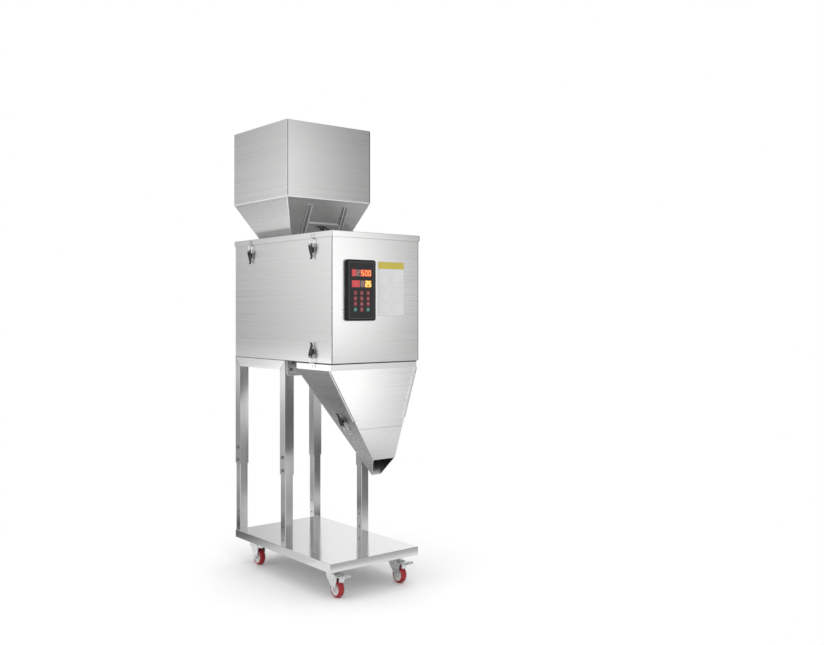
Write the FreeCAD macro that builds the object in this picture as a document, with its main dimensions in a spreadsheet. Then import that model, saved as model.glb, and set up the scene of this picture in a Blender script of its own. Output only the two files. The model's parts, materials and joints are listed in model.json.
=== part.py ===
"""Weighing powder filler on a wheeled, height-adjustable stand.

Frame: millimetres, +Z up, origin on the floor under the middle of the machine.
The control panel and the nozzle face -Y, so +X is the right-hand side for
someone who stands in front of the machine and faces the panel.
"""
import FreeCAD
import Part
import Sketcher
import math
import operator
import os
from types import SimpleNamespace

SIZES = {
    # whole machine
    "cabinet_width": 360,
    "cabinet_depth": 640,
    "cabinet_height": 428.5,
    "sheet": 1.5,
    "nozzle_reach": 40,
    # tray and casters
    "tray_rim": 28,
    "tray_side": 3,
    "tray_end": 6,
    "caster_height": 95,
    "caster_inset_end": 60,
    "caster_inset_side": 53,
    "caster_trail": 24,
    "channel_width": 78,
    "wheel_diameter": 60,
    "wheel_width": 22,
    "hub_diameter": 43,
    "axle_diameter": 8,
    "fork_sheet": 2.5,
    "fork_gap": 27,
    "bearing_clearance": 0.08,
    "running_clearance": 0.4,
    # stand
    "stand_height": 645,
    "upper_leg_length": 398,
    "upper_tube": 35,
    "tube_wall": 1.5,
    "lower_tube": 31,
    "leg_overlap": 78,
    "leg_setback": 286,
    "beam_height": 34,
    "leg_reserve": 7,
    "bolt_edge": 15,
    "bolt_pitch": 46,
    "bolt_hole": 7,
    "bolt_head": 11,
    "cross_plate_height": 54,
    # lid and hopper
    "lid_overhang": 3,
    "lid_skirt": 20,
    "hopper_width": 356,
    "hopper_depth": 378,
    "hopper_setback": 277,
    "hopper_bin_height": 266,
    "hopper_funnel_height": 237,
    "hopper_clear": 137,
    "hopper_hem": 8,
    "throat_width": 152,
    "throat_depth": 92,
    "throat_setback": 117,
    "weld_gap": 0.2,
    # metering gate
    "gate_width": 147,
    "gate_sheet": 2,
    "gate_top": 173,
    "gate_travel": 60,
    "gate_flange": 8,
    "rail_width": 12,
    "rail_length": 240,
    "knob_height": 156,
    "knob_span": 44,
    "stud_diameter": 6,
    # discharge funnel and nozzle
    "rim_height": 24,
    "rim_inset": 1,
    "rim_setback": 10,
    "rim_depth": 204,
    "funnel_drop": 375,
    "outlet_front_drop": 316,
    "outlet_rear_width": 36,
    "outlet_rear_set": 2,
    "funnel_seam": 216,
    "corner_strip": 10,
    "corner_strip_drop": 188,
    "spigot": 14,
    # control panel
    "panel_width": 116,
    "panel_height": 200,
    "panel_depth": 13,
    "panel_offset": 71,
    "panel_level": 238,
    "panel_corner": 8,
    "display_width": 80,
    "display_height": 24,
    "display_upper": 56,
    "display_lower": 21,
    "bezel": 4,
    # toggle latches
    "latch_width": 22,
    "latch_pivot": 9.5,
    "latch_throw": 7,
    "latch_reach": 30,
    "latch_wire": 2.5,
    "latch_lever_length": 47,
    "latch_front": 108,
    "latch_rear": 516,
    # inside
    "trough_width": 170,
    "trough_length": 380,
    "trough_wall_height": 62,
    "trough_level": 258,
    "bucket_width": 170,
    "bucket_depth": 140,
    "bucket_height": 118,
    "bucket_level": 112,
    "drive_width": 100,
    "drive_length": 170,
    "drive_setback": 20,
    "drive_foot": 40,
    "spring_width": 80,
    "spring_setback": 60,
    "spring_pitch": 110,
    "spring_sheet": 2,
    "spring_clamp": 12,
    "core_width": 56,
    "core_depth": 48,
    "core_height": 70,
    "coil_diameter": 60,
    "coil_height": 45,
    "cell_level": 62,
    "cell_length": 130,
    "cell_width": 24,
    "cell_height": 30,
    "cell_bracket": 8,
    "cell_post": 34,
    # mains inlet
    "inlet_side": 95,
    "inlet_rise": 90,
    "inlet_width": 50,
    "inlet_height": 86,
    "inlet_flange": 2.5,
    "rocker_reach": 7.3,
}

doc = FreeCAD.newDocument("PowderFiller")
sheet = doc.addObject("Spreadsheet::Sheet", "Sizes")
for row, (alias, number) in enumerate(SIZES.items(), start=1):
    sheet.set(f"A{row}", alias)
    sheet.set(f"B{row}", str(number))
    sheet.setAlias(f"B{row}", alias)
doc.recompute()

SIGNS = {"+": operator.add, "-": operator.sub, "*": operator.mul, "/": operator.truediv}


class Size:
    """A length that knows both its value and the sheet expression behind it."""

    def __init__(self, value, text):
        self.value = float(value)
        self.text = text

    def __float__(self):
        return self.value

    def __add__(self, other):
        return joined(self, "+", other)

    def __radd__(self, other):
        return joined(other, "+", self)

    def __sub__(self, other):
        return joined(self, "-", other)

    def __rsub__(self, other):
        return joined(other, "-", self)

    def __mul__(self, other):
        return joined(self, "*", other)

    def __rmul__(self, other):
        return joined(other, "*", self)

    def __truediv__(self, other):
        return joined(self, "/", other)

    def __neg__(self):
        return joined(0, "-", self)


def as_size(value):
    if isinstance(value, Size):
        return value
    return Size(value, f"{float(value):.6f}")


def joined(left, sign, right):
    first = as_size(left)
    second = as_size(right)
    return Size(SIGNS[sign](first.value, second.value), f"({first.text} {sign} {second.text})")


d = SimpleNamespace(**{alias: Size(sheet.get(alias), f"Sizes.{alias}") for alias in SIZES})
nodes = {}


def bind(target, prop, size):
    """Tie a property to the sheet."""
    target.setExpression(prop, as_size(size).text)


def place(target, x, y, z, rotation=None):
    """Put an object at a point given by sizes, with an optional fixed rotation."""
    if rotation is not None:
        target.Placement = FreeCAD.Placement(FreeCAD.Vector(), rotation)
    for axis, size in zip("xyz", (x, y, z)):
        bind(target, f"Placement.Base.{axis}", size)
    return target


def box(name, x_range, y_range, z_range):
    """A block between two values on each axis."""
    solid = doc.addObject("Part::Box", name)
    for prop, (low, high) in zip(("Length", "Width", "Height"), (x_range, y_range, z_range)):
        bind(solid, prop, high - low)
    return place(solid, x_range[0], y_range[0], z_range[0])


TURNS = {
    "X": FreeCAD.Rotation(FreeCAD.Vector(0, 1, 0), 90),
    "Y": FreeCAD.Rotation(FreeCAD.Vector(1, 0, 0), -90),
    "Z": FreeCAD.Rotation(),
}


def rod(name, axis, start, radius, length):
    """A round bar that runs from a start point along +X, +Y or +Z."""
    solid = doc.addObject("Part::Cylinder", name)
    bind(solid, "Radius", radius)
    bind(solid, "Height", length)
    return place(solid, *start, TURNS[axis])


def fuse(name, *parts):
    result = doc.addObject("Part::MultiFuse", name)
    result.Shapes = list(parts)
    return result


def cut(name, base, *tools):
    result = doc.addObject("Part::Cut", name)
    result.Base = base
    result.Tool = tools[0] if len(tools) == 1 else fuse(f"{name}Tools", *tools)
    return result


def group(name, *parts):
    """Several separate solids in one node, or one shape that is placed again."""
    result = doc.addObject("Part::Compound", name)
    result.Links = list(parts)
    return result


def node(label, target):
    """Keep an object as a named piece of the machine."""
    target.Label = label
    nodes[label] = target
    return target


def new_body(name):
    return doc.addObject("PartDesign::Body", name)


def origin_feature(body, role):
    return next(feature for feature in body.Origin.OriginFeatures if feature.Role == role)


def new_sketch(body, plane, offset):
    sketch = body.newObject("Sketcher::SketchObject", f"{body.Name}Sketch")
    sketch.AttachmentSupport = [(origin_feature(body, f"{plane}_Plane"), "")]
    sketch.MapMode = "FlatFace"
    bind(sketch, "AttachmentOffset.Base.z", offset)
    return sketch


def bound_point(sketch, geometry, point, position):
    """Fix one point of a sketch at two sheet-driven distances from its origin."""
    for direction, size in zip(("DistanceX", "DistanceY"), position):
        rule = Sketcher.Constraint(direction, -1, 1, geometry, point, float(size))
        index = sketch.addConstraint(rule)
        bind(sketch, f"Constraints[{index}]", size)


def draw_polygon(sketch, points, closed=True):
    spots = [FreeCAD.Vector(float(a), float(b), 0) for a, b in points]
    first = sketch.GeometryCount
    ends = spots[1:] + spots[:1] if closed else spots[1:]
    count = len(ends)
    for start, end in zip(spots, ends):
        sketch.addGeometry(Part.LineSegment(start, end))
    for index in range(count - 1):
        sketch.addConstraint(Sketcher.Constraint("Coincident", first + index, 2, first + index + 1, 1))
    if closed:
        sketch.addConstraint(Sketcher.Constraint("Coincident", first + count - 1, 2, first, 1))
    for index in range(count):
        bound_point(sketch, first + index, 1, points[index])
    if not closed:
        bound_point(sketch, first + count - 1, 2, points[-1])


def draw_circle(sketch, centre_a, centre_b, radius):
    centre = FreeCAD.Vector(float(centre_a), float(centre_b), 0)
    index = sketch.addGeometry(Part.Circle(centre, FreeCAD.Vector(0, 0, 1), float(radius)))
    bound_point(sketch, index, 3, (centre_a, centre_b))
    rule = sketch.addConstraint(Sketcher.Constraint("Radius", index, float(radius)))
    bind(sketch, f"Constraints[{rule}]", radius)


def draw(sketch, loop):
    """A loop is a list of corners, or a tuple of centre and radius for a circle."""
    if isinstance(loop, tuple):
        draw_circle(sketch, *loop)
    else:
        draw_polygon(sketch, loop)


def prism(body, plane, loops, low, high, hollow=False):
    """Pad or pocket between two levels along the plane's own axis (X, Y or Z)."""
    if plane == "XZ":
        offset = -low if hollow else -high
    else:
        offset = high if hollow else low
    sketch = new_sketch(body, plane, offset)
    for loop in loops:
        draw(sketch, loop)
    feature = body.newObject("PartDesign::Pocket" if hollow else "PartDesign::Pad", f"{body.Name}Step")
    feature.Profile = sketch
    bind(feature, "Length", high - low)
    return feature


def rectangle(a_range, b_range):
    (a0, a1), (b0, b1) = a_range, b_range
    return [(a0, b0), (a1, b0), (a1, b1), (a0, b1)]


def block(body, x_range, y_range, z_range, hollow=False):
    return prism(body, "XY", [rectangle(x_range, y_range)], *z_range, hollow=hollow)


def frustum(name, lower, upper):
    """A four-sided block between two outlines, each an x range, a y range and a level."""
    solid = doc.addObject("Part::Wedge", name)
    for mark, (x_range, y_range, _) in (("", lower), ("2", upper)):
        bind(solid, f"X{mark}min", x_range[0])
        bind(solid, f"X{mark}max", x_range[1])
        bind(solid, f"Z{mark}min", -y_range[1])
        bind(solid, f"Z{mark}max", -y_range[0])
    bind(solid, "Ymin", lower[2])
    bind(solid, "Ymax", upper[2])
    solid.Placement = FreeCAD.Placement(FreeCAD.Vector(), FreeCAD.Rotation(FreeCAD.Vector(1, 0, 0), 90))
    return solid


def revolve(body, points, axis, plane="XZ", hollow=False):
    sketch = new_sketch(body, plane, 0)
    draw_polygon(sketch, points)
    kind = "PartDesign::Groove" if hollow else "PartDesign::Revolution"
    feature = body.newObject(kind, f"{body.Name}Turned")
    feature.Profile = sketch
    feature.ReferenceAxis = (origin_feature(body, f"{axis}_Axis"), [""])
    feature.Angle = 360
    return feature


def edges_where(feature, test):
    """Names of the edges whose middle passes a test."""
    found = []
    for index, edge in enumerate(feature.Shape.Edges, start=1):
        if test(edge, edge.BoundBox.Center):
            found.append(f"Edge{index}")
    return found


def soften(body, radius, test, kind="Fillet"):
    """Round or chamfer chosen edges of a body's last step."""
    doc.recompute()
    base = body.Tip
    feature = body.newObject(f"PartDesign::{kind}", f"{body.Name}{kind}")
    feature.Base = (base, edges_where(base, test))
    bind(feature, "Radius" if kind == "Fillet" else "Size", radius)
    return feature


def upright(edge, middle):
    box_of = edge.BoundBox
    return box_of.ZLength > 0.5 and box_of.XLength < 0.01 and box_of.YLength < 0.01


# Levels and planes that several pieces share

half = d.cabinet_width / 2
hopper_overhang = d.hopper_setback + d.hopper_depth - d.cabinet_depth
front = (d.nozzle_reach - d.cabinet_depth - hopper_overhang) / 2
rear = front + d.cabinet_depth
tray_top = d.caster_height + d.tray_rim
base = tray_top + d.stand_height
cabinet_top = base + d.cabinet_height
lid_top = cabinet_top + d.sheet
hopper_bend = lid_top + d.hopper_clear
hopper_top = hopper_bend + d.hopper_bin_height
throat_level = hopper_bend - d.hopper_funnel_height
upper_leg_end = base - d.upper_leg_length
lower_leg_length = upper_leg_end + d.leg_overlap - tray_top
stand_travel = upper_leg_end - tray_top - d.leg_reserve
SIDES = {"left": -1, "right": 1}


# Tray with casters' channels

tray_half = half + d.tray_side
tray_front = front + d.tray_end
tray_rear = rear - d.tray_end

tray = new_body("Tray")
block(tray, (-tray_half, tray_half), (tray_front, tray_rear), (d.caster_height, tray_top))
block(tray, (d.sheet - tray_half, tray_half - d.sheet), (tray_front + d.sheet, tray_rear - d.sheet),
      (d.caster_height, tray_top - d.sheet), hollow=True)
soften(tray, d.sheet * 1.4, lambda edge, middle: abs(middle.z - float(tray_top)) < 0.01)
node("base_tray", tray)

caster_x = tray_half - d.caster_inset_side
caster_rows = {"front": tray_front + d.caster_inset_end, "rear": tray_rear - d.caster_inset_end}
plate_thickness = d.sheet * 2
plate_half = 30
channel_top = tray_top - d.sheet
mounts = []
for end, level_y in caster_rows.items():
    channel = new_body(f"Channel_{end}")
    reach = d.channel_width / 2
    block(channel, (d.sheet - tray_half, tray_half - d.sheet), (level_y - reach, level_y + reach),
          (d.caster_height, channel_top))
    prism(channel, "YZ", [rectangle((level_y - reach + d.sheet, level_y + reach - d.sheet),
                                    (d.caster_height + d.sheet, channel_top))],
          d.sheet - tray_half, tray_half - d.sheet, hollow=True)
    mounts.append(channel)

plate = new_body("CasterPlate")
block(plate, (-plate_half, plate_half), (-plate_half, plate_half),
      (d.caster_height - plate_thickness, d.caster_height))
soften(plate, 5, upright)
cup_radius = 20
cup_depth = 8
prism(plate, "XY", [(0, 0, cup_radius)], d.caster_height - plate_thickness - cup_depth,
      d.caster_height - plate_thickness)
bolt_spots = [(x * 23, y * 23) for x in (-1, 1) for y in (-1, 1)]
prism(plate, "XY", [(x, y, 5) for x, y in bolt_spots], d.caster_height - plate_thickness * 2,
      d.caster_height - plate_thickness)
for end, level_y in caster_rows.items():
    for side, sign in SIDES.items():
        mounts.append(place(group(f"Plate_{end}_{side}", plate), caster_x * sign, level_y, 0))
node("caster_mounts", group("CasterMounts", *mounts))


# Casters: a swivelling fork, a wheel in two pieces, and a pedal on the front pair

wheel_radius = d.wheel_diameter / 2
hub_radius = d.hub_diameter / 2
axle_radius = d.axle_diameter / 2
cheek_inner = d.fork_gap / 2
cheek_outer = cheek_inner + d.fork_sheet
head_top = d.caster_height - plate_thickness - cup_depth - d.running_clearance
crown_top = head_top - 7
crown_bottom = crown_top - d.fork_sheet
axle_y = -d.caster_trail
pedal_pivot_y = axle_y - 10
pedal_pivot_z = crown_bottom - 5
pedal_pin = 2.5

fork = new_body("Fork")
prism(fork, "XY", [(0, 0, 18)], crown_top, head_top)
block(fork, (-cheek_outer, cheek_outer), (axle_y - 6, 19), (crown_bottom, crown_top))
cheek = [(18, crown_top), (18, crown_bottom - 7), (axle_y + 11, wheel_radius + 2), (axle_y + 6, wheel_radius - 8),
         (axle_y - 6, wheel_radius - 8), (axle_y - 11, wheel_radius + 2), (pedal_pivot_y - 6, pedal_pivot_z - 5),
         (pedal_pivot_y - 6, pedal_pivot_z + 5), (axle_y - 6, crown_top)]
for sign in (-1, 1):
    inner, outer = sorted((cheek_inner * sign, cheek_outer * sign), key=float)
    prism(fork, "YZ", [cheek], inner, outer)
axle = fuse("Axle",
            rod("AxleShank", "X", (-cheek_outer, axle_y, wheel_radius), axle_radius, cheek_outer * 2),
            rod("AxleHead", "X", (-cheek_outer - 5, axle_y, wheel_radius), 6.5, 5),
            rod("AxleNut", "X", (cheek_outer, axle_y, wheel_radius), 6.5, 6))
fork_hollow = cut("ForkDrilled", fork,
                  rod("ForkBore", "X", (-cheek_outer - 1, axle_y, wheel_radius), axle_radius, cheek_outer * 2 + 2))
fork_set = group("ForkSet", fork_hollow, axle)
pedal_axle = rod("PedalAxle", "X", (-cheek_outer - 2, pedal_pivot_y, pedal_pivot_z), pedal_pin, cheek_outer * 2 + 4)
braked_fork = group("BrakedForkSet", cut("BrakedFork", fork_hollow, pedal_axle), axle, pedal_axle)

tyre = new_body("Tyre")
half_tread = d.wheel_width / 2
revolve(tyre, [(-half_tread, hub_radius), (half_tread, hub_radius), (half_tread, wheel_radius - 5),
               (half_tread - 4, wheel_radius - 1), (3, wheel_radius), (-3, wheel_radius),
               (4 - half_tread, wheel_radius - 1), (-half_tread, wheel_radius - 5)], "X")
hub = new_body("Hub")
boss_half = cheek_inner - d.running_clearance
bore = axle_radius + d.bearing_clearance
web = 4
revolve(hub, [(-boss_half, bore), (boss_half, bore), (boss_half, 8), (web, 9), (web, hub_radius - 4),
              (half_tread - 1, hub_radius - 3), (half_tread - 1, hub_radius), (1 - half_tread, hub_radius),
              (1 - half_tread, hub_radius - 3), (-web, hub_radius - 4), (-web, 9), (-boss_half, 8)], "X")
spoke_window = prism(hub, "YZ", [[(-2.6, 10.5), (2.6, 10.5), (4.4, hub_radius - 5.5), (0, hub_radius - 5),
                                  (-4.4, hub_radius - 5.5)]], -web - 1, web + 1, hollow=True)
spokes = hub.newObject("PartDesign::PolarPattern", "HubSpokes")
spokes.Originals = [spoke_window]
spokes.Axis = (origin_feature(hub, "X_Axis"), [""])
spokes.Angle = 360
spokes.Occurrences = 6
hub.Tip = spokes

pedal = new_body("Pedal")
pedal_slack = cheek_inner - 1
prism(pedal, "YZ", [(pedal_pivot_y, pedal_pivot_z, 5)], -pedal_slack, pedal_slack)
prism(pedal, "YZ", [[(pedal_pivot_y, pedal_pivot_z + 2), (pedal_pivot_y, pedal_pivot_z + 5),
                     (pedal_pivot_y - 14, pedal_pivot_z + 7), (pedal_pivot_y - 38, pedal_pivot_z + 11),
                     (pedal_pivot_y - 38, pedal_pivot_z + 8.5), (pedal_pivot_y - 14, pedal_pivot_z + 4)]],
      -pedal_slack, pedal_slack)
prism(pedal, "YZ", [[(pedal_pivot_y - 12, pedal_pivot_z + 6.6), (pedal_pivot_y - 38, pedal_pivot_z + 11),
                     (pedal_pivot_y - 39, pedal_pivot_z + 3), (pedal_pivot_y - 37, pedal_pivot_z + 3),
                     (pedal_pivot_y - 36, pedal_pivot_z + 8.5), (pedal_pivot_y - 12, pedal_pivot_z + 4)]],
      -20, 20)
prism(pedal, "YZ", [[(pedal_pivot_y - 8, pedal_pivot_z + 5), (pedal_pivot_y - 20, pedal_pivot_z + 6),
                     (pedal_pivot_y - 16, pedal_pivot_z - 15), (pedal_pivot_y - 11, pedal_pivot_z - 12.4)]], -9, 9)
prism(pedal, "YZ", [(pedal_pivot_y, pedal_pivot_z, pedal_pin + d.bearing_clearance)], -pedal_slack, pedal_slack,
      hollow=True)

for end, level_y in caster_rows.items():
    for side, sign in SIDES.items():
        spot = f"{end}_{side}"
        frame = (caster_x * sign, level_y, 0)
        wheel_frame = (caster_x * sign, level_y + axle_y, wheel_radius)
        yoke = braked_fork if end == "front" else fork_set
        node(f"caster_fork_{spot}", place(group(f"Fork_{spot}", yoke), *frame))
        node(f"caster_tyre_{spot}", place(group(f"Tyre_{spot}", tyre), *wheel_frame))
        node(f"caster_hub_{spot}", place(group(f"Hub_{spot}", hub), *wheel_frame))
        if end == "front":
            node(f"brake_pedal_{side}", place(group(f"Pedal_{spot}", pedal), *frame))


# Stand: lower legs on the tray, upper frame that slides over them

leg_x = half - d.upper_tube / 2
leg_rows = {"front": front + d.leg_setback + d.upper_tube / 2, "rear": rear - d.upper_tube / 2}
bolt_levels = [upper_leg_end + d.bolt_edge, upper_leg_end + d.bolt_edge + d.bolt_pitch]
hole_levels = bolt_levels + [level - stand_travel for level in bolt_levels]

leg = new_body("LowerLeg")
lower_half = d.lower_tube / 2
block(leg, (-lower_half, lower_half), (-lower_half, lower_half), (tray_top, tray_top + lower_leg_length))
block(leg, (d.tube_wall - lower_half, lower_half - d.tube_wall),
      (d.tube_wall - lower_half, lower_half - d.tube_wall),
      (tray_top, tray_top + lower_leg_length), hollow=True)
prism(leg, "YZ", [(0, level, d.bolt_hole / 2) for level in hole_levels], -lower_half, lower_half, hollow=True)
soften(leg, 1.2, lambda edge, middle: upright(edge, middle) and edge.Length > float(lower_leg_length) - 1
       and abs(abs(middle.x) - float(lower_half)) < 0.01)
for end, level_y in leg_rows.items():
    for side, sign in SIDES.items():
        node(f"lower_leg_{end}_{side}",
             place(group(f"Leg_{end}_{side}", leg), leg_x * sign, level_y, 0))

leg_front_face = front + d.leg_setback
leg_front_back = leg_front_face + d.upper_tube
rear_leg_face = rear - d.upper_tube
beam_under = base - d.beam_height


def hollow_tube(body, plane, a_range, b_range, span):
    """Take the inside out of a square tube, one wall in from its faces."""
    wall = d.tube_wall
    inside = rectangle((a_range[0] + wall, a_range[1] - wall), (b_range[0] + wall, b_range[1] - wall))
    prism(body, plane, [inside], *span, hollow=True)


for side, sign in SIDES.items():
    x_range = sorted((half * sign, (half - d.upper_tube) * sign), key=float)
    front_leg = new_body(f"FrontLeg_{side}")
    prism(front_leg, "YZ", [[(leg_front_face, upper_leg_end), (leg_front_back, upper_leg_end),
                             (leg_front_back, beam_under), (leg_front_face, base)]], *x_range)
    hollow_tube(front_leg, "XY", x_range, (leg_front_face, leg_front_back), (upper_leg_end, base))
    rear_leg = new_body(f"RearLeg_{side}")
    prism(rear_leg, "YZ", [[(rear_leg_face, upper_leg_end), (rear, upper_leg_end), (rear, base),
                            (rear_leg_face, beam_under)]], *x_range)
    hollow_tube(rear_leg, "XY", x_range, (rear_leg_face, rear), (upper_leg_end, base))
    beam = new_body(f"Beam_{side}")
    prism(beam, "YZ", [[(leg_front_face, base), (leg_front_back, beam_under), (rear_leg_face, beam_under),
                        (rear, base)]], *x_range)
    hollow_tube(beam, "XZ", x_range, (beam_under, base), (leg_front_face, rear))
    node(f"side_frame_{side}", group(f"SideFrame_{side}", front_leg, rear_leg, beam))

cross_half = half - d.upper_tube
rear_beam = new_body("RearBeam")
block(rear_beam, (-cross_half, cross_half), (rear_leg_face, rear), (beam_under, base))
hollow_tube(rear_beam, "YZ", (rear_leg_face, rear), (beam_under, base), (-cross_half, cross_half))
cross_plate = new_body("CrossPlate")
cross_reach = half - 6
block(cross_plate, (-cross_reach, cross_reach), (leg_front_face - d.sheet * 2, leg_front_face),
      (base - d.cross_plate_height, base))
soften(cross_plate, 12, lambda edge, middle: abs(middle.z - float(base - d.cross_plate_height)) < 0.01
       and edge.BoundBox.YLength > 1)
node("frame_crosspieces", group("Crosspieces", rear_beam, cross_plate))

bolts = []
shank_reach = d.tube_wall + 0.2
for end, level_y in leg_rows.items():
    for side, sign in SIDES.items():
        for index, level in enumerate(bolt_levels):
            tag = f"{end}_{side}_{index}"
            head_start = -half - 4 if sign < 0 else half
            shank_start = -half if sign < 0 else half - shank_reach
            head = rod(f"BoltHead_{tag}", "X", (head_start, level_y, level), d.bolt_head / 2, 4)
            shank = rod(f"BoltShank_{tag}", "X", (shank_start, level_y, level), d.bolt_hole / 2 - 0.5,
                        shank_reach)
            bolts.append(fuse(f"Bolt_{tag}", head, shank))
plate_face = leg_front_face - d.sheet * 2
for sign in (-1, 1):
    for index, (inset, drop) in enumerate(((30, 9), (21, 31))):
        spot = ((half - inset) * sign, plate_face - 4, base - drop)
        bolts.append(rod(f"PlateBolt_{sign + 1}_{index}", "Y", spot, d.bolt_head / 2, 4))


def drilled(side, sign):
    """Holes in the upper legs that the clamp bolts pass through."""
    holes = []
    for level_y in leg_rows.values():
        for level in bolt_levels:
            start = -half - 1 if sign < 0 else half - d.tube_wall - 1
            holes.append(rod(f"LegHole_{side}_{len(holes)}", "X", (start, level_y, level),
                             d.bolt_hole / 2, d.tube_wall + 2))
    return holes


for side, sign in SIDES.items():
    holes = fuse(f"LegHoles_{side}", *drilled(side, sign))
    pieces = []
    for index, piece in enumerate(nodes[f"side_frame_{side}"].Links):
        if piece.Name.startswith("Beam"):
            pieces.append(piece)
        else:
            pieces.append(cut(f"DrilledLeg_{side}_{index}", piece, holes))
    nodes[f"side_frame_{side}"].Links = pieces
node("stand_bolts", group("StandBolts", *bolts))


# Cabinet: shell, front panel and lid

shell = new_body("Shell")
wall_in = half - d.sheet
panel_back = front + d.sheet
block(shell, (-half, half), (panel_back, rear), (base, cabinet_top))
block(shell, (-wall_in, wall_in), (panel_back + d.sheet, rear - d.sheet), (base + d.sheet, cabinet_top), hollow=True)
return_flange = 14
prism(shell, "XZ", [rectangle((return_flange - half, half - return_flange),
                              (base + return_flange, cabinet_top - return_flange))],
      panel_back, panel_back + d.sheet, hollow=True)
drop_half = half - 18
drop_front = front + d.rim_setback + 12
drop_rear = front + d.rim_setback + d.rim_depth - 12
block(shell, (-drop_half, drop_half), (drop_front, drop_rear), (base, base + d.sheet), hollow=True)
inlet_x = half - d.inlet_side
inlet_z = base + d.inlet_rise
inlet_half = d.inlet_width / 2
inlet_tall = d.inlet_height / 2
inlet_body_half = inlet_half - 5
inlet_body_tall = inlet_tall - 9
prism(shell, "XZ", [rectangle((inlet_x - inlet_body_half, inlet_x + inlet_body_half),
                              (inlet_z - inlet_body_tall, inlet_z + inlet_body_tall))],
      rear - d.sheet, rear, hollow=True)
node("cabinet_shell", shell)

door = new_body("FrontPanel")
door_gap = 2.4
block(door, (door_gap - half, half - door_gap), (front, panel_back), (base, cabinet_top))
node("front_panel", door)


def hopper_outline(level, inset=0):
    """The hopper's cone at a level: x range, y range, level, moved in by a wall where asked."""
    share = (hopper_bend - level) / d.hopper_funnel_height
    half_width = d.hopper_width / 2 - (d.hopper_width - d.throat_width) / 2 * share - inset
    near = hopper_front + d.throat_setback * share + inset
    rear_gain = d.hopper_depth - d.throat_setback - d.throat_depth
    far = hopper_front + d.hopper_depth - rear_gain * share - inset
    return (-half_width, half_width), (near, far), level


hopper_front = front + d.hopper_setback
lid_half = half + d.lid_overhang
lid = new_body("Lid")
lid_span = (front - d.lid_overhang, rear + d.lid_overhang)
block(lid, (-lid_half, lid_half), lid_span, (lid_top - d.lid_skirt, lid_top))
block(lid, (d.sheet - lid_half, lid_half - d.sheet), (lid_span[0] + d.sheet, lid_span[1] - d.sheet),
      (lid_top - d.lid_skirt, cabinet_top), hollow=True)
rail_outer = d.gate_width / 2 + d.rail_width + 3
gate_stack = 16
share_at_lid = (hopper_bend - lid_top) / d.hopper_funnel_height
neck_front = hopper_front + d.throat_setback * share_at_lid
block(lid, (-rail_outer, rail_outer), (neck_front - gate_stack, neck_front + 4), (cabinet_top, lid_top), hollow=True)
soften(lid, d.sheet, lambda edge, middle: abs(middle.z - float(lid_top)) < 0.01
       and (abs(abs(middle.x) - float(lid_half)) < 0.01 or abs(middle.y - float(lid_span[0])) < 0.01
            or abs(middle.y - float(lid_span[1])) < 0.01))
hole = frustum("LidHole", hopper_outline(cabinet_top - d.sheet, -d.weld_gap),
               hopper_outline(lid_top + d.sheet, -d.weld_gap))
node("lid", cut("LidOpened", lid, hole))


# Hopper: a square bin over a four-sided funnel, with a folded hem and a front window

bin_half = d.hopper_width / 2
bin_span = (hopper_front, hopper_front + d.hopper_depth)
hopper_wall = d.sheet * 1.2
inner_half = bin_half - hopper_wall
inner_span = (bin_span[0] + hopper_wall, bin_span[1] - hopper_wall)
mouth_half = bin_half - d.hopper_hem
mouth_span = (bin_span[0] + d.hopper_hem, bin_span[1] - d.hopper_hem)
window_half = d.throat_width / 2 - 16
hopper_solid = fuse("HopperSolid",
                    frustum("HopperCone", hopper_outline(throat_level), hopper_outline(hopper_bend)),
                    box("HopperBin", (-bin_half, bin_half), bin_span, (hopper_bend, hopper_top)))
hopper = cut("Hopper", hopper_solid,
             frustum("ConeHollow", hopper_outline(throat_level, hopper_wall),
                     hopper_outline(hopper_bend, hopper_wall)),
             box("BinHollow", (-inner_half, inner_half), inner_span, (hopper_bend, hopper_top - d.sheet)),
             box("BinMouth", (-mouth_half, mouth_half), mouth_span, (hopper_top - d.sheet, hopper_top)),
             box("GateWindow", (-window_half, window_half), (hopper_front, hopper_front + d.throat_setback + 30),
                 (throat_level, throat_level + 50)))
node("hopper", hopper)


# Metering gate on the hopper's sloping front face

slope_angle = math.degrees(math.atan2(float(d.throat_setback), float(d.hopper_funnel_height)))
slope_turn = FreeCAD.Rotation(FreeCAD.Vector(1, 0, 0), slope_angle)
throat_front = hopper_front + d.throat_setback
gate_half = d.gate_width / 2
gate_back = -0.6
gate_face = gate_back - d.gate_sheet


def on_slope(target):
    """Place a piece whose own Z runs up the slope and whose -Y points out of it."""
    return place(target, 0, throat_front, throat_level, slope_turn)


rails = []
for sign in (-1, 1):
    rail = new_body("Rail")
    foot = gate_half + 0.6
    lip = gate_half - 7
    profile = [(foot, 0), (foot + d.rail_width, 0), (foot + d.rail_width, -1.5), (foot + 1.5, -1.5),
               (foot + 1.5, gate_face - 2.4), (lip, gate_face - 2.4), (lip, gate_face - 0.9), (foot, gate_face - 0.9)]
    prism(rail, "XY", [[(x * sign, y) for x, y in profile]], 2, d.rail_length)
    rails.append(on_slope(rail))
stud_radius = d.stud_diameter / 2
stud = new_body("Stud")
prism(stud, "XZ", [(0, d.knob_height, stud_radius)], -18, 0)
rails.append(on_slope(stud))
node("gate_rails", group("GateRails", *rails))

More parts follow.
